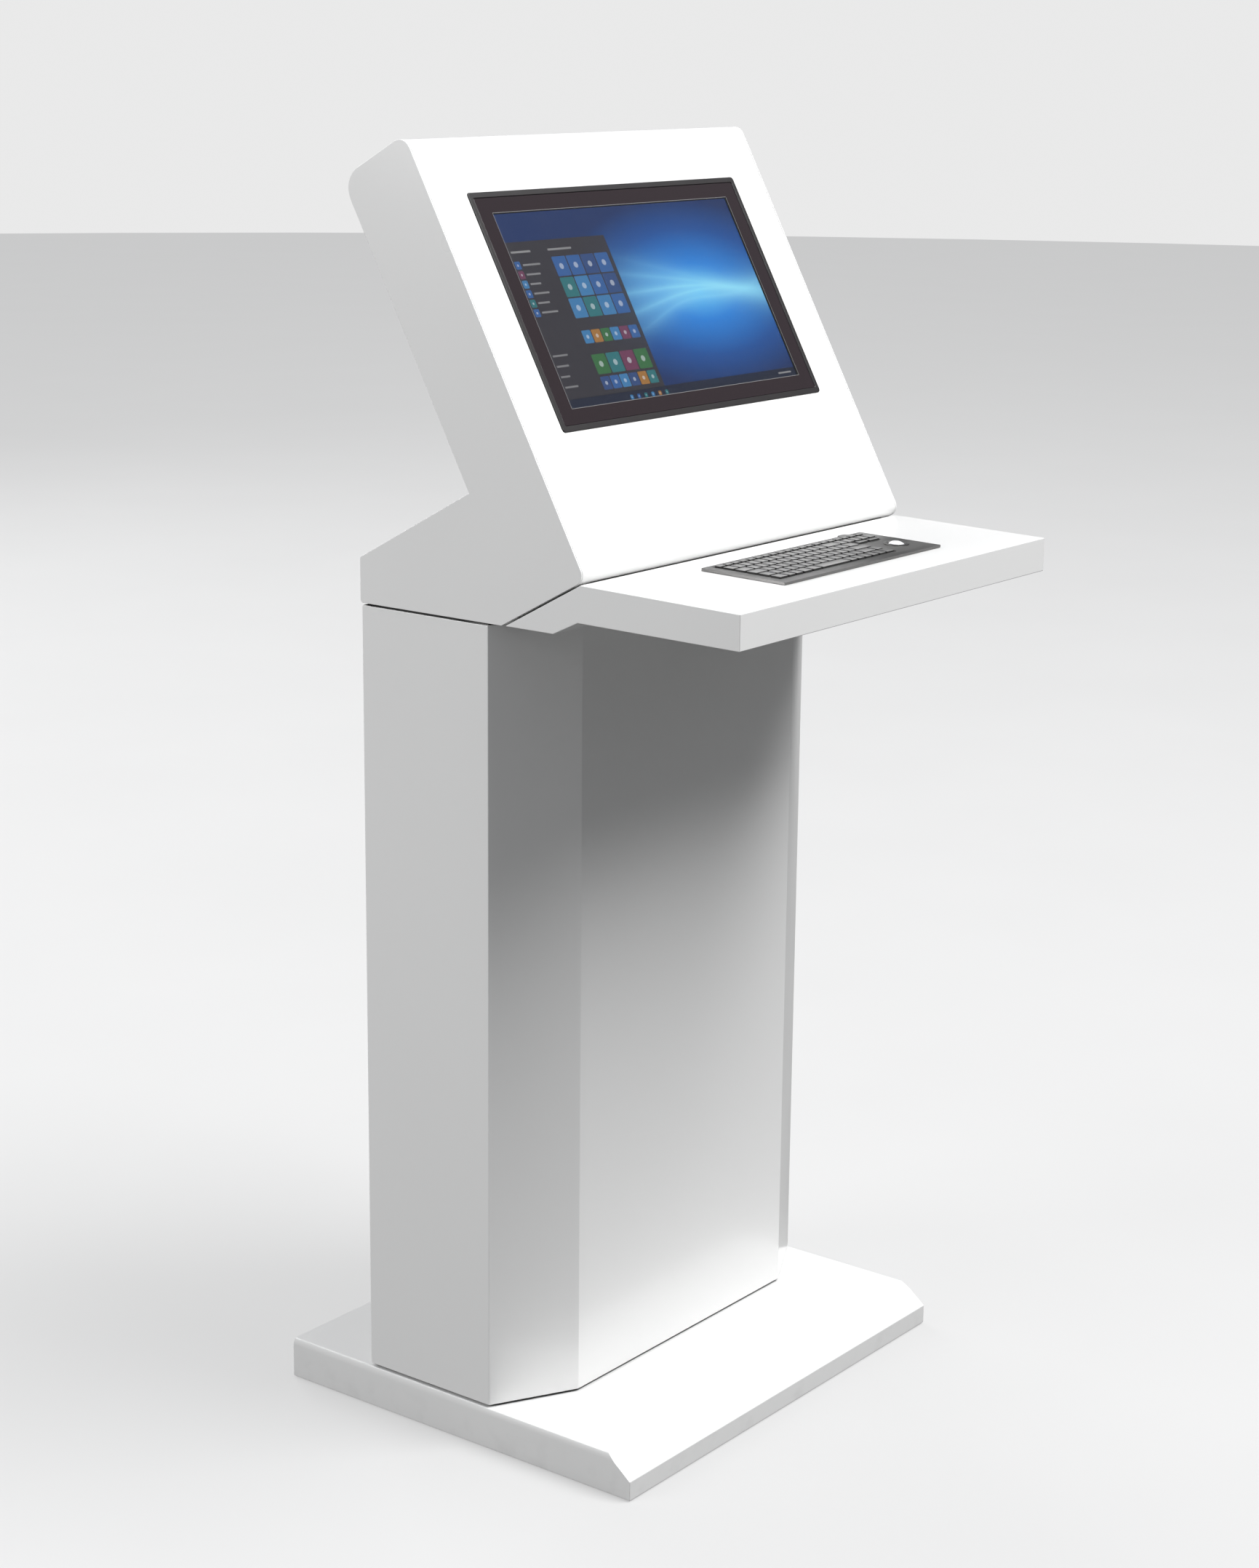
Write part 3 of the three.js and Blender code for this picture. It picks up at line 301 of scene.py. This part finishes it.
def inside(tree, u, v, left, right, low, high, corner=0.0, soft=0.35):
    """1 inside a rectangle with round corners, 0 outside it."""
    def beyond(value, start, end):
        middle, half = (start + end) / 2, (end - start) / 2 - corner
        off = tree.math("ABSOLUTE", tree.math("SUBTRACT", value, middle))
        return tree.math("MAXIMUM", tree.math("SUBTRACT", off, half), 0.0)
    du, dv = beyond(u, left, right), beyond(v, low, high)
    squares = tree.math("ADD", tree.math("POWER", du, 2.0), tree.math("POWER", dv, 2.0))
    reach = tree.math("SQRT", squares)
    return tree.span(reach, corner - soft, corner + soft, 1.0, 0.0)


def glass():
    """Clear over the picture, printed black behind its rim."""
    tree = Tree("touch_glass_face")
    u, v = screen_place(tree)
    wide, high = SCREEN_HALF
    clear = inside(tree, u, v, -wide - 1, wide + 1, -high - 1, high + 1, 0.5)
    smudge = tree.noise(26.0, 5)
    tree.set(base_color=tree.mix(clear, (0.022, 0.015, 0.018), (0.97, 0.98, 0.98)))
    tree.set(transmission_weight=clear, ior=1.5)
    tree.set(roughness=tree.span(smudge, 0.35, 0.75, 0.02, 0.075))
    tree.bump(tree.noise(140.0, 2), 0.000002, 0.4)
    return tree.material


def wallpaper(tree, u, v):
    """A blue glow on the right, with soft ribbons of light that run into it."""
    glow_u, glow_v = 96.0, 2.0
    du = tree.math("DIVIDE", tree.math("SUBTRACT", u, glow_u), 235.0)
    dv = tree.math("DIVIDE", tree.math("SUBTRACT", v, glow_v), 118.0)
    far = tree.math("SQRT", tree.math("ADD", tree.math("POWER", du, 2.0), tree.math("POWER", dv, 2.0)))
    colour = tree.ramp(far, [(0.0, (0.10, 0.50, 0.95)), (0.3, (0.012, 0.21, 0.68)),
                             (0.68, (0.002, 0.07, 0.30)), (1.0, (0.002, 0.022, 0.11))])
    for drop, slope, width, share in ((26, 0.20, 5.0, 0.5), (9, 0.07, 3.0, 0.75), (-7, -0.06, 3.4, 0.7),
                                      (-24, -0.17, 5.5, 0.45), (44, 0.31, 9.0, 0.25)):
        bend = tree.math("MULTIPLY", tree.math("SINE", tree.math("DIVIDE", u, 61.0 + drop)), 7.0)
        rise = tree.math("MULTIPLY", tree.math("SUBTRACT", glow_u, u), slope)
        line = tree.math("ADD", rise, drop * 0.35)
        off = tree.math("ABSOLUTE", tree.math("SUBTRACT", v, tree.math("ADD", line, bend)))
        spread = tree.math("ADD", tree.math("MULTIPLY", tree.math("ABSOLUTE", du), 12.0), width)
        light = tree.math("EXPONENT", tree.math("MULTIPLY", tree.math("DIVIDE", off, spread), -1.0))
        faded = tree.math("MULTIPLY", light, tree.span(far, 0.0, 1.1, share, 0.0, smooth=True))
        colour = tree.mix(faded, colour, (0.30, 0.78, 1.0))
    return colour


def from_middle(tree, cell, number, pitch):
    """How far a place lies from the middle of its numbered cell, in millimetres."""
    offset = tree.math("SUBTRACT", tree.math("SUBTRACT", cell, number), 0.5)
    return tree.math("MULTIPLY", offset, pitch)


def tile_grid(tree, colour, u, v, left, top, columns, rows, pitch, size, palette):
    """A grid of plain tiles, each in one colour of the palette, with a pale dot in its middle."""
    cell_u = tree.math("DIVIDE", tree.math("SUBTRACT", u, left), pitch)
    cell_v = tree.math("DIVIDE", tree.math("SUBTRACT", top, v), pitch)
    column, row = tree.math("FLOOR", cell_u), tree.math("FLOOR", cell_v)
    in_u, in_v = from_middle(tree, cell_u, column, pitch), from_middle(tree, cell_v, row, pitch)
    half = size / 2
    tile = inside(tree, in_u, in_v, -half, half, -half, half, 1.6)
    field = inside(tree, u, v, left, left + columns * pitch, top - rows * pitch, top, 0.0, 0.01)
    pick = tree.math("FRACT", tree.math("ADD", tree.math("MULTIPLY", column, 0.377),
                                        tree.math("MULTIPLY", row, 0.619)))
    shade = tree.ramp(pick, [(i / len(palette), c) for i, c in enumerate(palette)])
    shade.node.color_ramp.interpolation = "CONSTANT"
    colour = tree.mix(tree.math("MULTIPLY", tile, field), colour, shade)
    dot = inside(tree, in_u, in_v, -half * 0.3, half * 0.3, -half * 0.3, half * 0.3, half * 0.3)
    shown = tree.math("MULTIPLY", tree.math("MULTIPLY", dot, field), 0.75)
    return tree.mix(shown, colour, (0.8, 0.85, 0.9))


def bars(tree, colour, u, v, left, top, count, pitch, width, height, tone):
    """A column of plain bars that stand for the lines of a list."""
    cell = tree.math("DIVIDE", tree.math("SUBTRACT", top, v), pitch)
    row = tree.math("FLOOR", cell)
    in_v = from_middle(tree, cell, row, pitch)
    uneven = tree.math("MULTIPLY", tree.math("FRACT", tree.math("MULTIPLY", row, 0.43)), width * 0.45)
    shifted = tree.math("ADD", u, uneven)
    drawn = inside(tree, shifted, in_v, left, left + width, -height / 2, height / 2, height * 0.4)
    field = inside(tree, u, v, left, left + width, top - count * pitch, top, 0, 0.01)
    return tree.mix(tree.math("MULTIPLY", drawn, field), colour, tone)


def picture():
    """A made-up home page: a dark menu with plain tiles over a blue backdrop, and a task bar."""
    tree = Tree("display_picture")
    u, v = screen_place(tree)
    wide, high = SCREEN_HALF
    blue, sky, navy = (0.02, 0.17, 0.56), (0.05, 0.33, 0.74), (0.015, 0.09, 0.33)
    teal, green = (0.01, 0.27, 0.30), (0.03, 0.24, 0.05)
    plum, amber = (0.25, 0.04, 0.13), (0.62, 0.27, 0.03)
    colour = wallpaper(tree, u, v)
    menu = inside(tree, u, v, -wide - 5, -40, -106, 82, 0.5)
    colour = tree.mix(tree.math("MULTIPLY", menu, 0.94), colour, (0.028, 0.024, 0.027))
    colour = tile_grid(tree, colour, u, v, -148, 62, 4, 3, 25.5, 23.8,
                       [blue, sky, blue, teal, navy, sky])
    colour = tile_grid(tree, colour, u, v, -148, -28, 6, 1, 17, 15.6, [sky, amber, plum, green, blue])
    colour = tile_grid(tree, colour, u, v, -148, -57, 4, 1, 25.5, 23.8, [green, teal, blue, plum])
    colour = tile_grid(tree, colour, u, v, -148, -84, 6, 1, 17, 15.6, [navy, blue, amber, sky, teal])
    colour = bars(tree, colour, u, v, -148, 76, 1, 12, 42, 2.4, (0.45, 0.45, 0.46))
    colour = tile_grid(tree, colour, u, v, -214, 60, 1, 6, 11.4, 9.4, [blue, sky, teal, plum, blue])
    colour = bars(tree, colour, u, v, -200, 60, 6, 11.4, 30, 2.2, (0.42, 0.42, 0.43))
    colour = bars(tree, colour, u, v, -212, 76, 1, 12, 34, 2.4, (0.5, 0.5, 0.5))
    colour = bars(tree, colour, u, v, -212, -48, 4, 12.4, 26, 2.2, (0.36, 0.36, 0.37))
    bar = inside(tree, u, v, -wide - 5, wide + 5, -high - 5, -105.5, 0.2)
    colour = tree.mix(bar, colour, (0.004, 0.004, 0.005))
    colour = tile_grid(tree, colour, u, v, -112, -106.5, 6, 1, 13, 5.4, [sky, blue, amber, teal])
    colour = bars(tree, colour, u, v, 182, -106.5, 1, 8.4, 26, 2.0, (0.5, 0.5, 0.5))
    lit = inside(tree, u, v, -wide, wide, -high, high, 0.3)
    pixels = tree.span(tree.noise(2600.0, 1), 0.2, 0.8, 0.93, 1.05)
    tree.set(base_color=(0.003, 0.003, 0.004, 1), roughness=0.6, specular_ior_level=0.0)
    tree.set(emission_color=tree.mix(lit, (0.0, 0.0, 0.0), colour))
    tree.set(emission_strength=tree.math("MULTIPLY", pixels, 1.15))
    return tree.material


# ---------------------------------------------------------------- mesh code
def ring_of(half_x, half_y, corner, steps=4):
    """Points of a rectangle with round corners about the origin, counter-clockwise."""
    corner = min(corner, half_x, half_y)
    points = []
    for quarter, (sx, sy) in enumerate(((1, 1), (-1, 1), (-1, -1), (1, -1))):
        for step in range(steps + 1):
            turn = math.radians(90 * quarter + 90 * step / steps)
            points.append((sx * (half_x - corner) + corner * math.cos(turn),
                           sy * (half_y - corner) + corner * math.sin(turn)))
    return points


def loft(mesh, rings, close_start=True, close_end=True):
    """Skins closed rings of equal length, from the lowest to the highest."""
    loops = [[mesh.verts.new(point) for point in ring] for ring in rings]
    for lower, upper in zip(loops, loops[1:]):
        for i in range(len(lower)):
            j = (i + 1) % len(lower)
            mesh.faces.new((lower[i], lower[j], upper[j], upper[i]))
    if close_start:
        mesh.faces.new(list(reversed(loops[0])))
    if close_end:
        mesh.faces.new(loops[-1])


def pad_of(mesh, x, y, half_x, half_y, corner, levels):
    """A stack of round-cornered outlines. Each level is (height, how far it draws in)."""
    rings = []
    for z, draw in levels:
        outline = ring_of(half_x - draw, half_y - draw, max(corner - draw, 0.25))
        rings.append([(x + px, y + py, z) for px, py in outline])
    loft(mesh, rings)


def turned(mesh, centre, profile, sides=64):
    """A turned solid about a vertical line. The profile is (radius, height), closed on itself."""
    loops = [[mesh.verts.new((centre[0] + r * math.cos(2 * math.pi * i / sides),
                              centre[1] + r * math.sin(2 * math.pi * i / sides), z))
              for i in range(sides)] for r, z in profile]
    for lower, upper in zip(loops, loops[1:] + loops[:1]):
        for i in range(sides):
            j = (i + 1) % sides
            mesh.faces.new((lower[i], lower[j], upper[j], upper[i]))


def piece(name, mesh, place, body, material, replaces=()):
    """Makes an object of a mesh in a local frame, places it, and lets it ride on its body."""
    bmesh.ops.recalc_face_normals(mesh, faces=mesh.faces)
    mesh.transform(place)
    data = bpy.data.meshes.new(name)
    mesh.to_mesh(data)
    mesh.free()
    data.shade_smooth()
    data.set_sharp_from_angle(angle=math.radians(32))
    made = bpy.data.objects.new(name, data)
    bpy.context.scene.collection.objects.link(made)
    data.materials.append(material)
    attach(made, body)
    if replaces:
        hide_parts(*replaces)
    return made


# ---------------------------------------------------------------- keyboard
def keycap(mesh, x0, x1, y, half_y, marked=False):
    """A drawn steel cap: tapering flanks, a rolled edge and a shallow dish in its top."""
    half_x = (x1 - x0) / 2
    x = (x0 + x1) / 2
    dish = 1.1 if half_y > 5 else 0.6
    levels = [(-2.4, 0.0), (PLATE_TOP, 0.3), (KEY_TOP - 0.7, 0.45), (KEY_TOP - 0.2, 0.65),
              (KEY_TOP, 1.05), (KEY_TOP - 0.05, 1.5), (KEY_TOP - 0.3, 1.5 + dish),
              (KEY_TOP - 0.42, 1.6 + 2 * dish)]
    pad_of(mesh, x, y, half_x, half_y, 2.0, levels)
    if marked:
        pad_of(mesh, x, y - half_y + 4.4, 2.0, 0.45, 0.45, [(KEY_TOP - 0.8, 0), (KEY_TOP - 0.12, 0.05)])


def key_row(name, body, node, y, widths, depth, steel, marked=()):
    mesh = bmesh.new()
    x = FIRST_KEY_X
    for i, width in enumerate(widths):
        reach = width * PITCH_X
        if width > 0:
            keycap(mesh, x + KEY_GAP / 2, x + reach - KEY_GAP / 2, y, depth / 2, i in marked)
        x += abs(reach)
    pad_of(mesh, (FIRST_KEY_X + x) / 2, y, (x - FIRST_KEY_X) / 2 - 2, 3.0, 0.5, [(-4.0, 0), (-2.0, 0)])
    piece(name, mesh, DESK, body, steel, [node])


def keyboard(steel, plate, dark, resin):
    depth = PITCH_Y - KEY_GAP
    rows = {
        "function": ([1] * 20, FUNCTION_ROW_Y, 8, ()),
        "number": ([1] * 13 + [2] + [1] * 5, NUMBER_ROW_Y, depth, ()),
        "upper_letter": ([1.5] + [1] * 13 + [1.5], NUMBER_ROW_Y - PITCH_Y, depth, ()),
        "home_letter": ([1.75] + [1] * 12 + [2.25], NUMBER_ROW_Y - 2 * PITCH_Y, depth, (4, 7)),
        "lower_letter": ([1.25] + [1] * 12 + [1.75, 1], NUMBER_ROW_Y - 3 * PITCH_Y, depth, ()),
        "bottom": ([1.25, 1, 1, 1.25, 1.25, -4] + [1] * 5 + [1.25], BOTTOM_ROW_Y, depth, ()),
    }
    for name, (widths, y, deep, marked) in rows.items():
        key_row(f"{name}_keycaps", f"{name}_keys", f"{name}_key_row", y, widths, deep, steel, marked)

    mesh = bmesh.new()
    start = FIRST_KEY_X + 5.75 * PITCH_X
    keycap(mesh, start + KEY_GAP / 2, start + 4 * PITCH_X - KEY_GAP / 2, BOTTOM_ROW_Y, depth / 2)
    piece("space_keycap", mesh, DESK, "space_key", steel, ["space_bar"])

    button_y, button_half, button_x, offset = -81.7, 3.7, 120, 12
    for side, sign in (("left", -1), ("right", 1)):
        mesh = bmesh.new()
        centre = button_x + sign * offset
        keycap(mesh, centre - 10.5, centre + 10.5, button_y, button_half)
        piece(f"{side}_mouse_keycap", mesh, DESK, f"{side}_mouse_key", steel,
              [f"mouse_button_{side}"])

    trackball(plate, resin)
    plate_trim(plate, dark)


def trackball(plate, resin):
    mesh = bmesh.new()
    bmesh.ops.create_icosphere(mesh, subdivisions=5, radius=BALL_RADIUS)
    bmesh.ops.translate(mesh, verts=mesh.verts, vec=BALL)
    piece("polished_ball", mesh, DESK, "track_ball", resin, ["trackball"])

    mesh = bmesh.new()
    low, high = PLATE_TOP + 0.3, PLATE_TOP + 1.1
    turned(mesh, BALL, [(10.2, low), (15.0, low), (15.0, high - 0.5), (14.8, high - 0.15), (14.4, high),
                        (11.0, high), (10.5, high - 0.1), (10.2, high - 0.4)], 96)
    piece("ball_retaining_ring", mesh, DESK, "kiosk", plate, ["trackball_ring"])


def plate_trim(plate, dark):
    """The rubber seal under the plate's edge, and the small lifting tab behind it."""
    plate_x, plate_y, half_x, half_y = 6, -99, 157.5, 56
    mesh = bmesh.new()
    outer = ring_of(half_x - 0.7, half_y - 0.7, 0.8)
    inner = ring_of(half_x - 4, half_y - 3.4, 1)
    rings = [[(plate_x + x, plate_y + y, z) for x, y in ring]
             for ring, z in ((inner, 0.02), (outer, 0.02), (outer, 0.28), (inner, 0.28), (inner, 0.02))]
    loft(mesh, rings, False, False)
    bmesh.ops.remove_doubles(mesh, verts=mesh.verts, dist=0.001)
    piece("keyboard_edge_seal", mesh, DESK, "kiosk", dark)

    mesh = bmesh.new()
    pad_of(mesh, 132, -41.5, 8.5, 4.6, 3.4,
           [(0.35, 0.3), (0.7, 0.0), (2.4, 0.0), (3.0, 0.35), (3.15, 0.9)])
    piece("keyboard_lifting_tab", mesh, DESK, "kiosk", plate)


# ---------------------------------------------------------------- rear and inside details
def hinge_rivets(steel):
    """Domed rivets through both leaves of the piano hinge."""
    column_back, clearance, leaf = 135.5, 0.3, 1.5
    back = column_back + clearance + leaf
    for body, name, x in (("kiosk", "hinge_frame_rivets", 296.5),
                          ("rear_door", "hinge_door_rivets", 272.5)):
        mesh = bmesh.new()
        for i in range(8):
            turned_dome(mesh, x, back, 190 + i * 107.4, 3.0, 1.3)
        piece(name, mesh, MODEL, body, steel)


def turned_dome(mesh, x, y, z, radius, height, sides=24):
    """A shallow dome that faces the rear, standing on a surface."""
    rings = []
    for step in range(5):
        angle = math.radians(90 * step / 5)
        reach = radius * math.cos(angle)
        rings.append([(x - reach * math.cos(2 * math.pi * i / sides), y + height * math.sin(angle),
                       z + reach * math.sin(2 * math.pi * i / sides)) for i in range(sides)])
    loft(mesh, rings)


def computer_ports(steel, dark):
    """Connectors on the side of the computer that faces the service door."""
    low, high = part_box("computer")
    rear = high.y / MM - MODEL_SHIFT
    floor = low.z / MM
    shells, sockets = bmesh.new(), bmesh.new()
    across = -48
    for width, height in ((16, 13), (13, 6), (13, 6), (15, 11), (15, 11), (14, 5), (18, 9)):
        x, z = across + width / 2, floor + 14 + height / 2
        rim = [(x + px, py + z) for px, py in ring_of(width / 2, height / 2, 1)]
        hole = [(x + px, py + z) for px, py in ring_of(width / 2 - 0.8, height / 2 - 0.8, 0.6)]
        loops = [[(px, rear + depth, pz) for px, pz in loop]
                 for loop, depth in ((rim, 0.0), (rim, 1.2), (hole, 1.2), (hole, 0.05), (rim, 0.0))]
        loft(shells, loops, False, False)
        loft(sockets, [[(px, rear + d, pz) for px, pz in hole] for d in (0.02, 0.25)])
        across += width + 7
    bmesh.ops.remove_doubles(shells, verts=shells.verts, dist=0.001)
    piece("computer_connectors", shells, MODEL, "kiosk", steel)
    piece("computer_connector_cores", sockets, MODEL, "kiosk", dark)


def strip_contacts(steel, dark):
    """Dark discs of painted shade that stand for the contact holes, and earth clips, in the power
    strip's round sockets.
    """
    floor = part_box("power_strip")[0].z / MM + 42 - 14
    hole_shade_discs, clips = bmesh.new(), bmesh.new()
    for i in range(4):
        x, y = -262 + 48 * i, -12.5
        for side in (-1, 1):
            ring = ring_of(2.4, 2.4, 2.4)
            hole_x = x + side * 9.5
            # Painted shade: a flat dark disc on the socket floor stands for each contact hole, which is
            # not cut.
            loft(hole_shade_discs, [[(hole_x + px, y + py, floor + z) for px, py in ring] for z in (0.02, 0.2)])
            pad_of(clips, x, y + side * 16.6, 2.2, 0.8, 0.4,
                   [(floor + 0.1, 0), (floor + 9, 0), (floor + 9.6, 0.4)])
    piece("power_strip_contact_hole_shade", hole_shade_discs, MODEL, "kiosk", dark)
    piece("power_strip_earth_clips", clips, MODEL, "kiosk", steel)


# ---------------------------------------------------------------- CAD nodes
EDGE = {  # radius of the visible edges in millimetres; a node that isn't named has the last value
    "base_cover": 1.6, "column_shell": 1.6, "head_left_side": 0.9, "head_right_side": 0.9,
    "tray_shell": 1.0, "head_front_shell": 0.5, "head_neck_cover": 0.5, "column_rear_door": 0.6,
    "column_rear_panel": 0.6, "head_rear_cover": 0.5, "screen_bezel": 0.6, "touch_glass": 0.35,
    "keyboard_plate": 0.5, "column_neck_plate": 0.4, "column_foot_flange": 0.4, "computer": 0.8,
    "power_strip": 1.5, "mains_inlet": 0.5, "mains_switch": 0.5, "": 0.25,
}


def finish_node(name, node, material):
    """Gives a CAD node its material, soft edges and smooth round stretches."""
    node.data.materials.clear()
    node.data.materials.append(material)
    node.data.shade_smooth()
    weld = node.modifiers.new("weld", "WELD")
    weld.merge_threshold = 0.00001
    if name.endswith("cable") or name.endswith("lead"):
        node.modifiers.new("round", "SUBSURF").render_levels = 1
        return
    flat = node.modifiers.new("flat", "DECIMATE")
    flat.decimate_type = "DISSOLVE"
    flat.angle_limit = math.radians(0.6)
    edge = node.modifiers.new("edge", "BEVEL")
    edge.width = EDGE.get(name, EDGE[""]) * MM
    edge.segments = 3
    edge.limit_method = "ANGLE"
    edge.angle_limit = math.radians(28)
    edge.harden_normals = True
    normals = node.modifiers.new("normals", "WEIGHTED_NORMAL")
    normals.weight = 60


def make_materials():
    return {
        "white_paint": painted("white_powder_coat", (0.79, 0.79, 0.785), 0.3, 0.35, 650.0, 0.35),
        "black_paint": painted("black_powder_coat", (0.022, 0.022, 0.023), 0.5, 0.0, 1100.0, 0.8),
        "black_trim": moulded("black_satin_trim", (0.017, 0.015, 0.016), 0.34, 1600.0, 0.00002),
        "touch_glass": glass(),
        "display": picture(),
        "key_steel": key_steel("blasted_key_steel", (0.42, 0.415, 0.41), 0.38),
        "plate_steel": brushed("brushed_plate_steel", (0.21, 0.207, 0.204), 0.38),
        "bright_steel": metal("nickel_plate", (0.72, 0.71, 0.69), 0.2, 800.0),
        "zinc_steel": metal("zinc_plate", (0.52, 0.54, 0.55), 0.38, 500.0, 0.5),
        "computer_casing": moulded("anodised_casing", (0.025, 0.025, 0.028), 0.42, 1500.0, 0.00002),
        "black_plastic": moulded("black_moulding", (0.022, 0.022, 0.024), 0.48),
        "ball_resin": polished_resin("pearl_resin"),
        "circuit_board": circuit_board("solder_resist"),
        "black_rubber": moulded("black_rubber_grain", (0.015, 0.015, 0.015), 0.75, 700.0, 0.00008,
                                0.15),
        "cable_sheath": moulded("cable_sheath_grain", (0.02, 0.02, 0.021), 0.55, 500.0, 0.00006,
                                0.1),
    }


# ---------------------------------------------------------------- floor and light
def area_light(name, place, aim, size, power, colour=(1, 1, 1)):
    data = bpy.data.lights.new(name, "AREA")
    data.shape = "RECTANGLE"
    data.size, data.size_y = size
    data.energy = power
    data.color = colour
    lamp = bpy.data.objects.new(name, data)
    lamp.location = place
    lamp.rotation_euler = (Vector(aim) - Vector(place)).to_track_quat("-Z", "Y").to_euler()
    bpy.context.scene.collection.objects.link(lamp)


def studio():
    mesh = bmesh.new()
    bmesh.ops.create_circle(mesh, cap_ends=True, segments=96, radius=20.0)
    data = bpy.data.meshes.new("studio_floor")
    mesh.to_mesh(data)
    mesh.free()
    floor = bpy.data.objects.new("studio_floor", data)
    bpy.context.scene.collection.objects.link(floor)
    data.materials.append(pale_floor())

    area_light("overhead_front", (2.2, -4.4, 8.2), (0, 0, 0.7), (5.0, 5.0), 1230)
    area_light("left_fill", (-6.0, 3.0, 3.0), (0, 0, 0.7), (4.0, 4.0), 290)
    area_light("rear_fill", (2.0, 6.0, 4.0), (0, 0, 0.7), (4.0, 4.0), 190)
    studio_air()


def pale_floor():
    """Pale to the eye, but dimmer in the light that it gives back, as a floor with flags over it."""
    tree = Tree("pale_floor")
    tone = tree.noise(2.0, 3)
    tree.set(base_color=tree.mix(tone, (0.20, 0.20, 0.20), (0.22, 0.22, 0.22)), roughness=0.8)
    tree.set(emission_color=(1, 1, 1, 1), emission_strength=0.48)
    dim = tree.nodes.new("ShaderNodeBsdfDiffuse")
    dim.inputs["Color"].default_value = (0.13, 0.13, 0.13, 1)
    chosen = tree.nodes.new("ShaderNodeMixShader")
    tree.put(chosen.inputs[0], tree.nodes.new("ShaderNodeLightPath").outputs["Is Camera Ray"])
    tree.put(chosen.inputs[1], dim.outputs[0])
    tree.put(chosen.inputs[2], tree.shader.outputs[0])
    tree.put(tree.nodes["Material Output"].inputs[0], chosen.outputs[0])
    return tree.material


def studio_air():
    """A plain pale backdrop, and a dim room whose light comes mostly from above."""
    world = bpy.data.worlds.new("studio_air")
    world.use_nodes = True
    nodes, links = world.node_tree.nodes, world.node_tree.links
    lighting = nodes["Background"]
    lighting.inputs["Color"].default_value = (0.95, 0.97, 1.0, 1)
    climb = nodes.new("ShaderNodeSeparateXYZ")
    links.new(nodes.new("ShaderNodeTexCoord").outputs["Generated"], climb.inputs[0])
    rise = nodes.new("ShaderNodeMapRange")
    for socket, number in zip(rise.inputs[1:5], (0.1, 0.9, 0.05, 0.55)):
        socket.default_value = number
    links.new(climb.outputs[2], rise.inputs[0])
    links.new(rise.outputs[0], lighting.inputs["Strength"])
    backdrop = nodes.new("ShaderNodeBackground")
    backdrop.inputs["Color"].default_value = (0.82, 0.82, 0.82, 1)
    path = nodes.new("ShaderNodeLightPath")
    chosen = nodes.new("ShaderNodeMixShader")
    links.new(path.outputs["Is Camera Ray"], chosen.inputs[0])
    links.new(lighting.outputs[0], chosen.inputs[1])
    links.new(backdrop.outputs[0], chosen.inputs[2])
    links.new(chosen.outputs[0], nodes["World Output"].inputs[0])
    bpy.context.scene.world = world
    bpy.context.scene.view_settings.view_transform = "Standard"


def main():
    camera()
    studio()
    looks = make_materials()
    for row in frame["record"]["subparts"]:
        finish_node(row["node"], NODES[row["node"]], looks[row["material_slot"]])
    keyboard(looks["key_steel"], looks["plate_steel"], looks["black_rubber"], looks["ball_resin"])
    hinge_rivets(looks["bright_steel"])
    computer_ports(looks["bright_steel"], looks["black_plastic"])
    strip_contacts(looks["bright_steel"], looks["black_rubber"])


main()
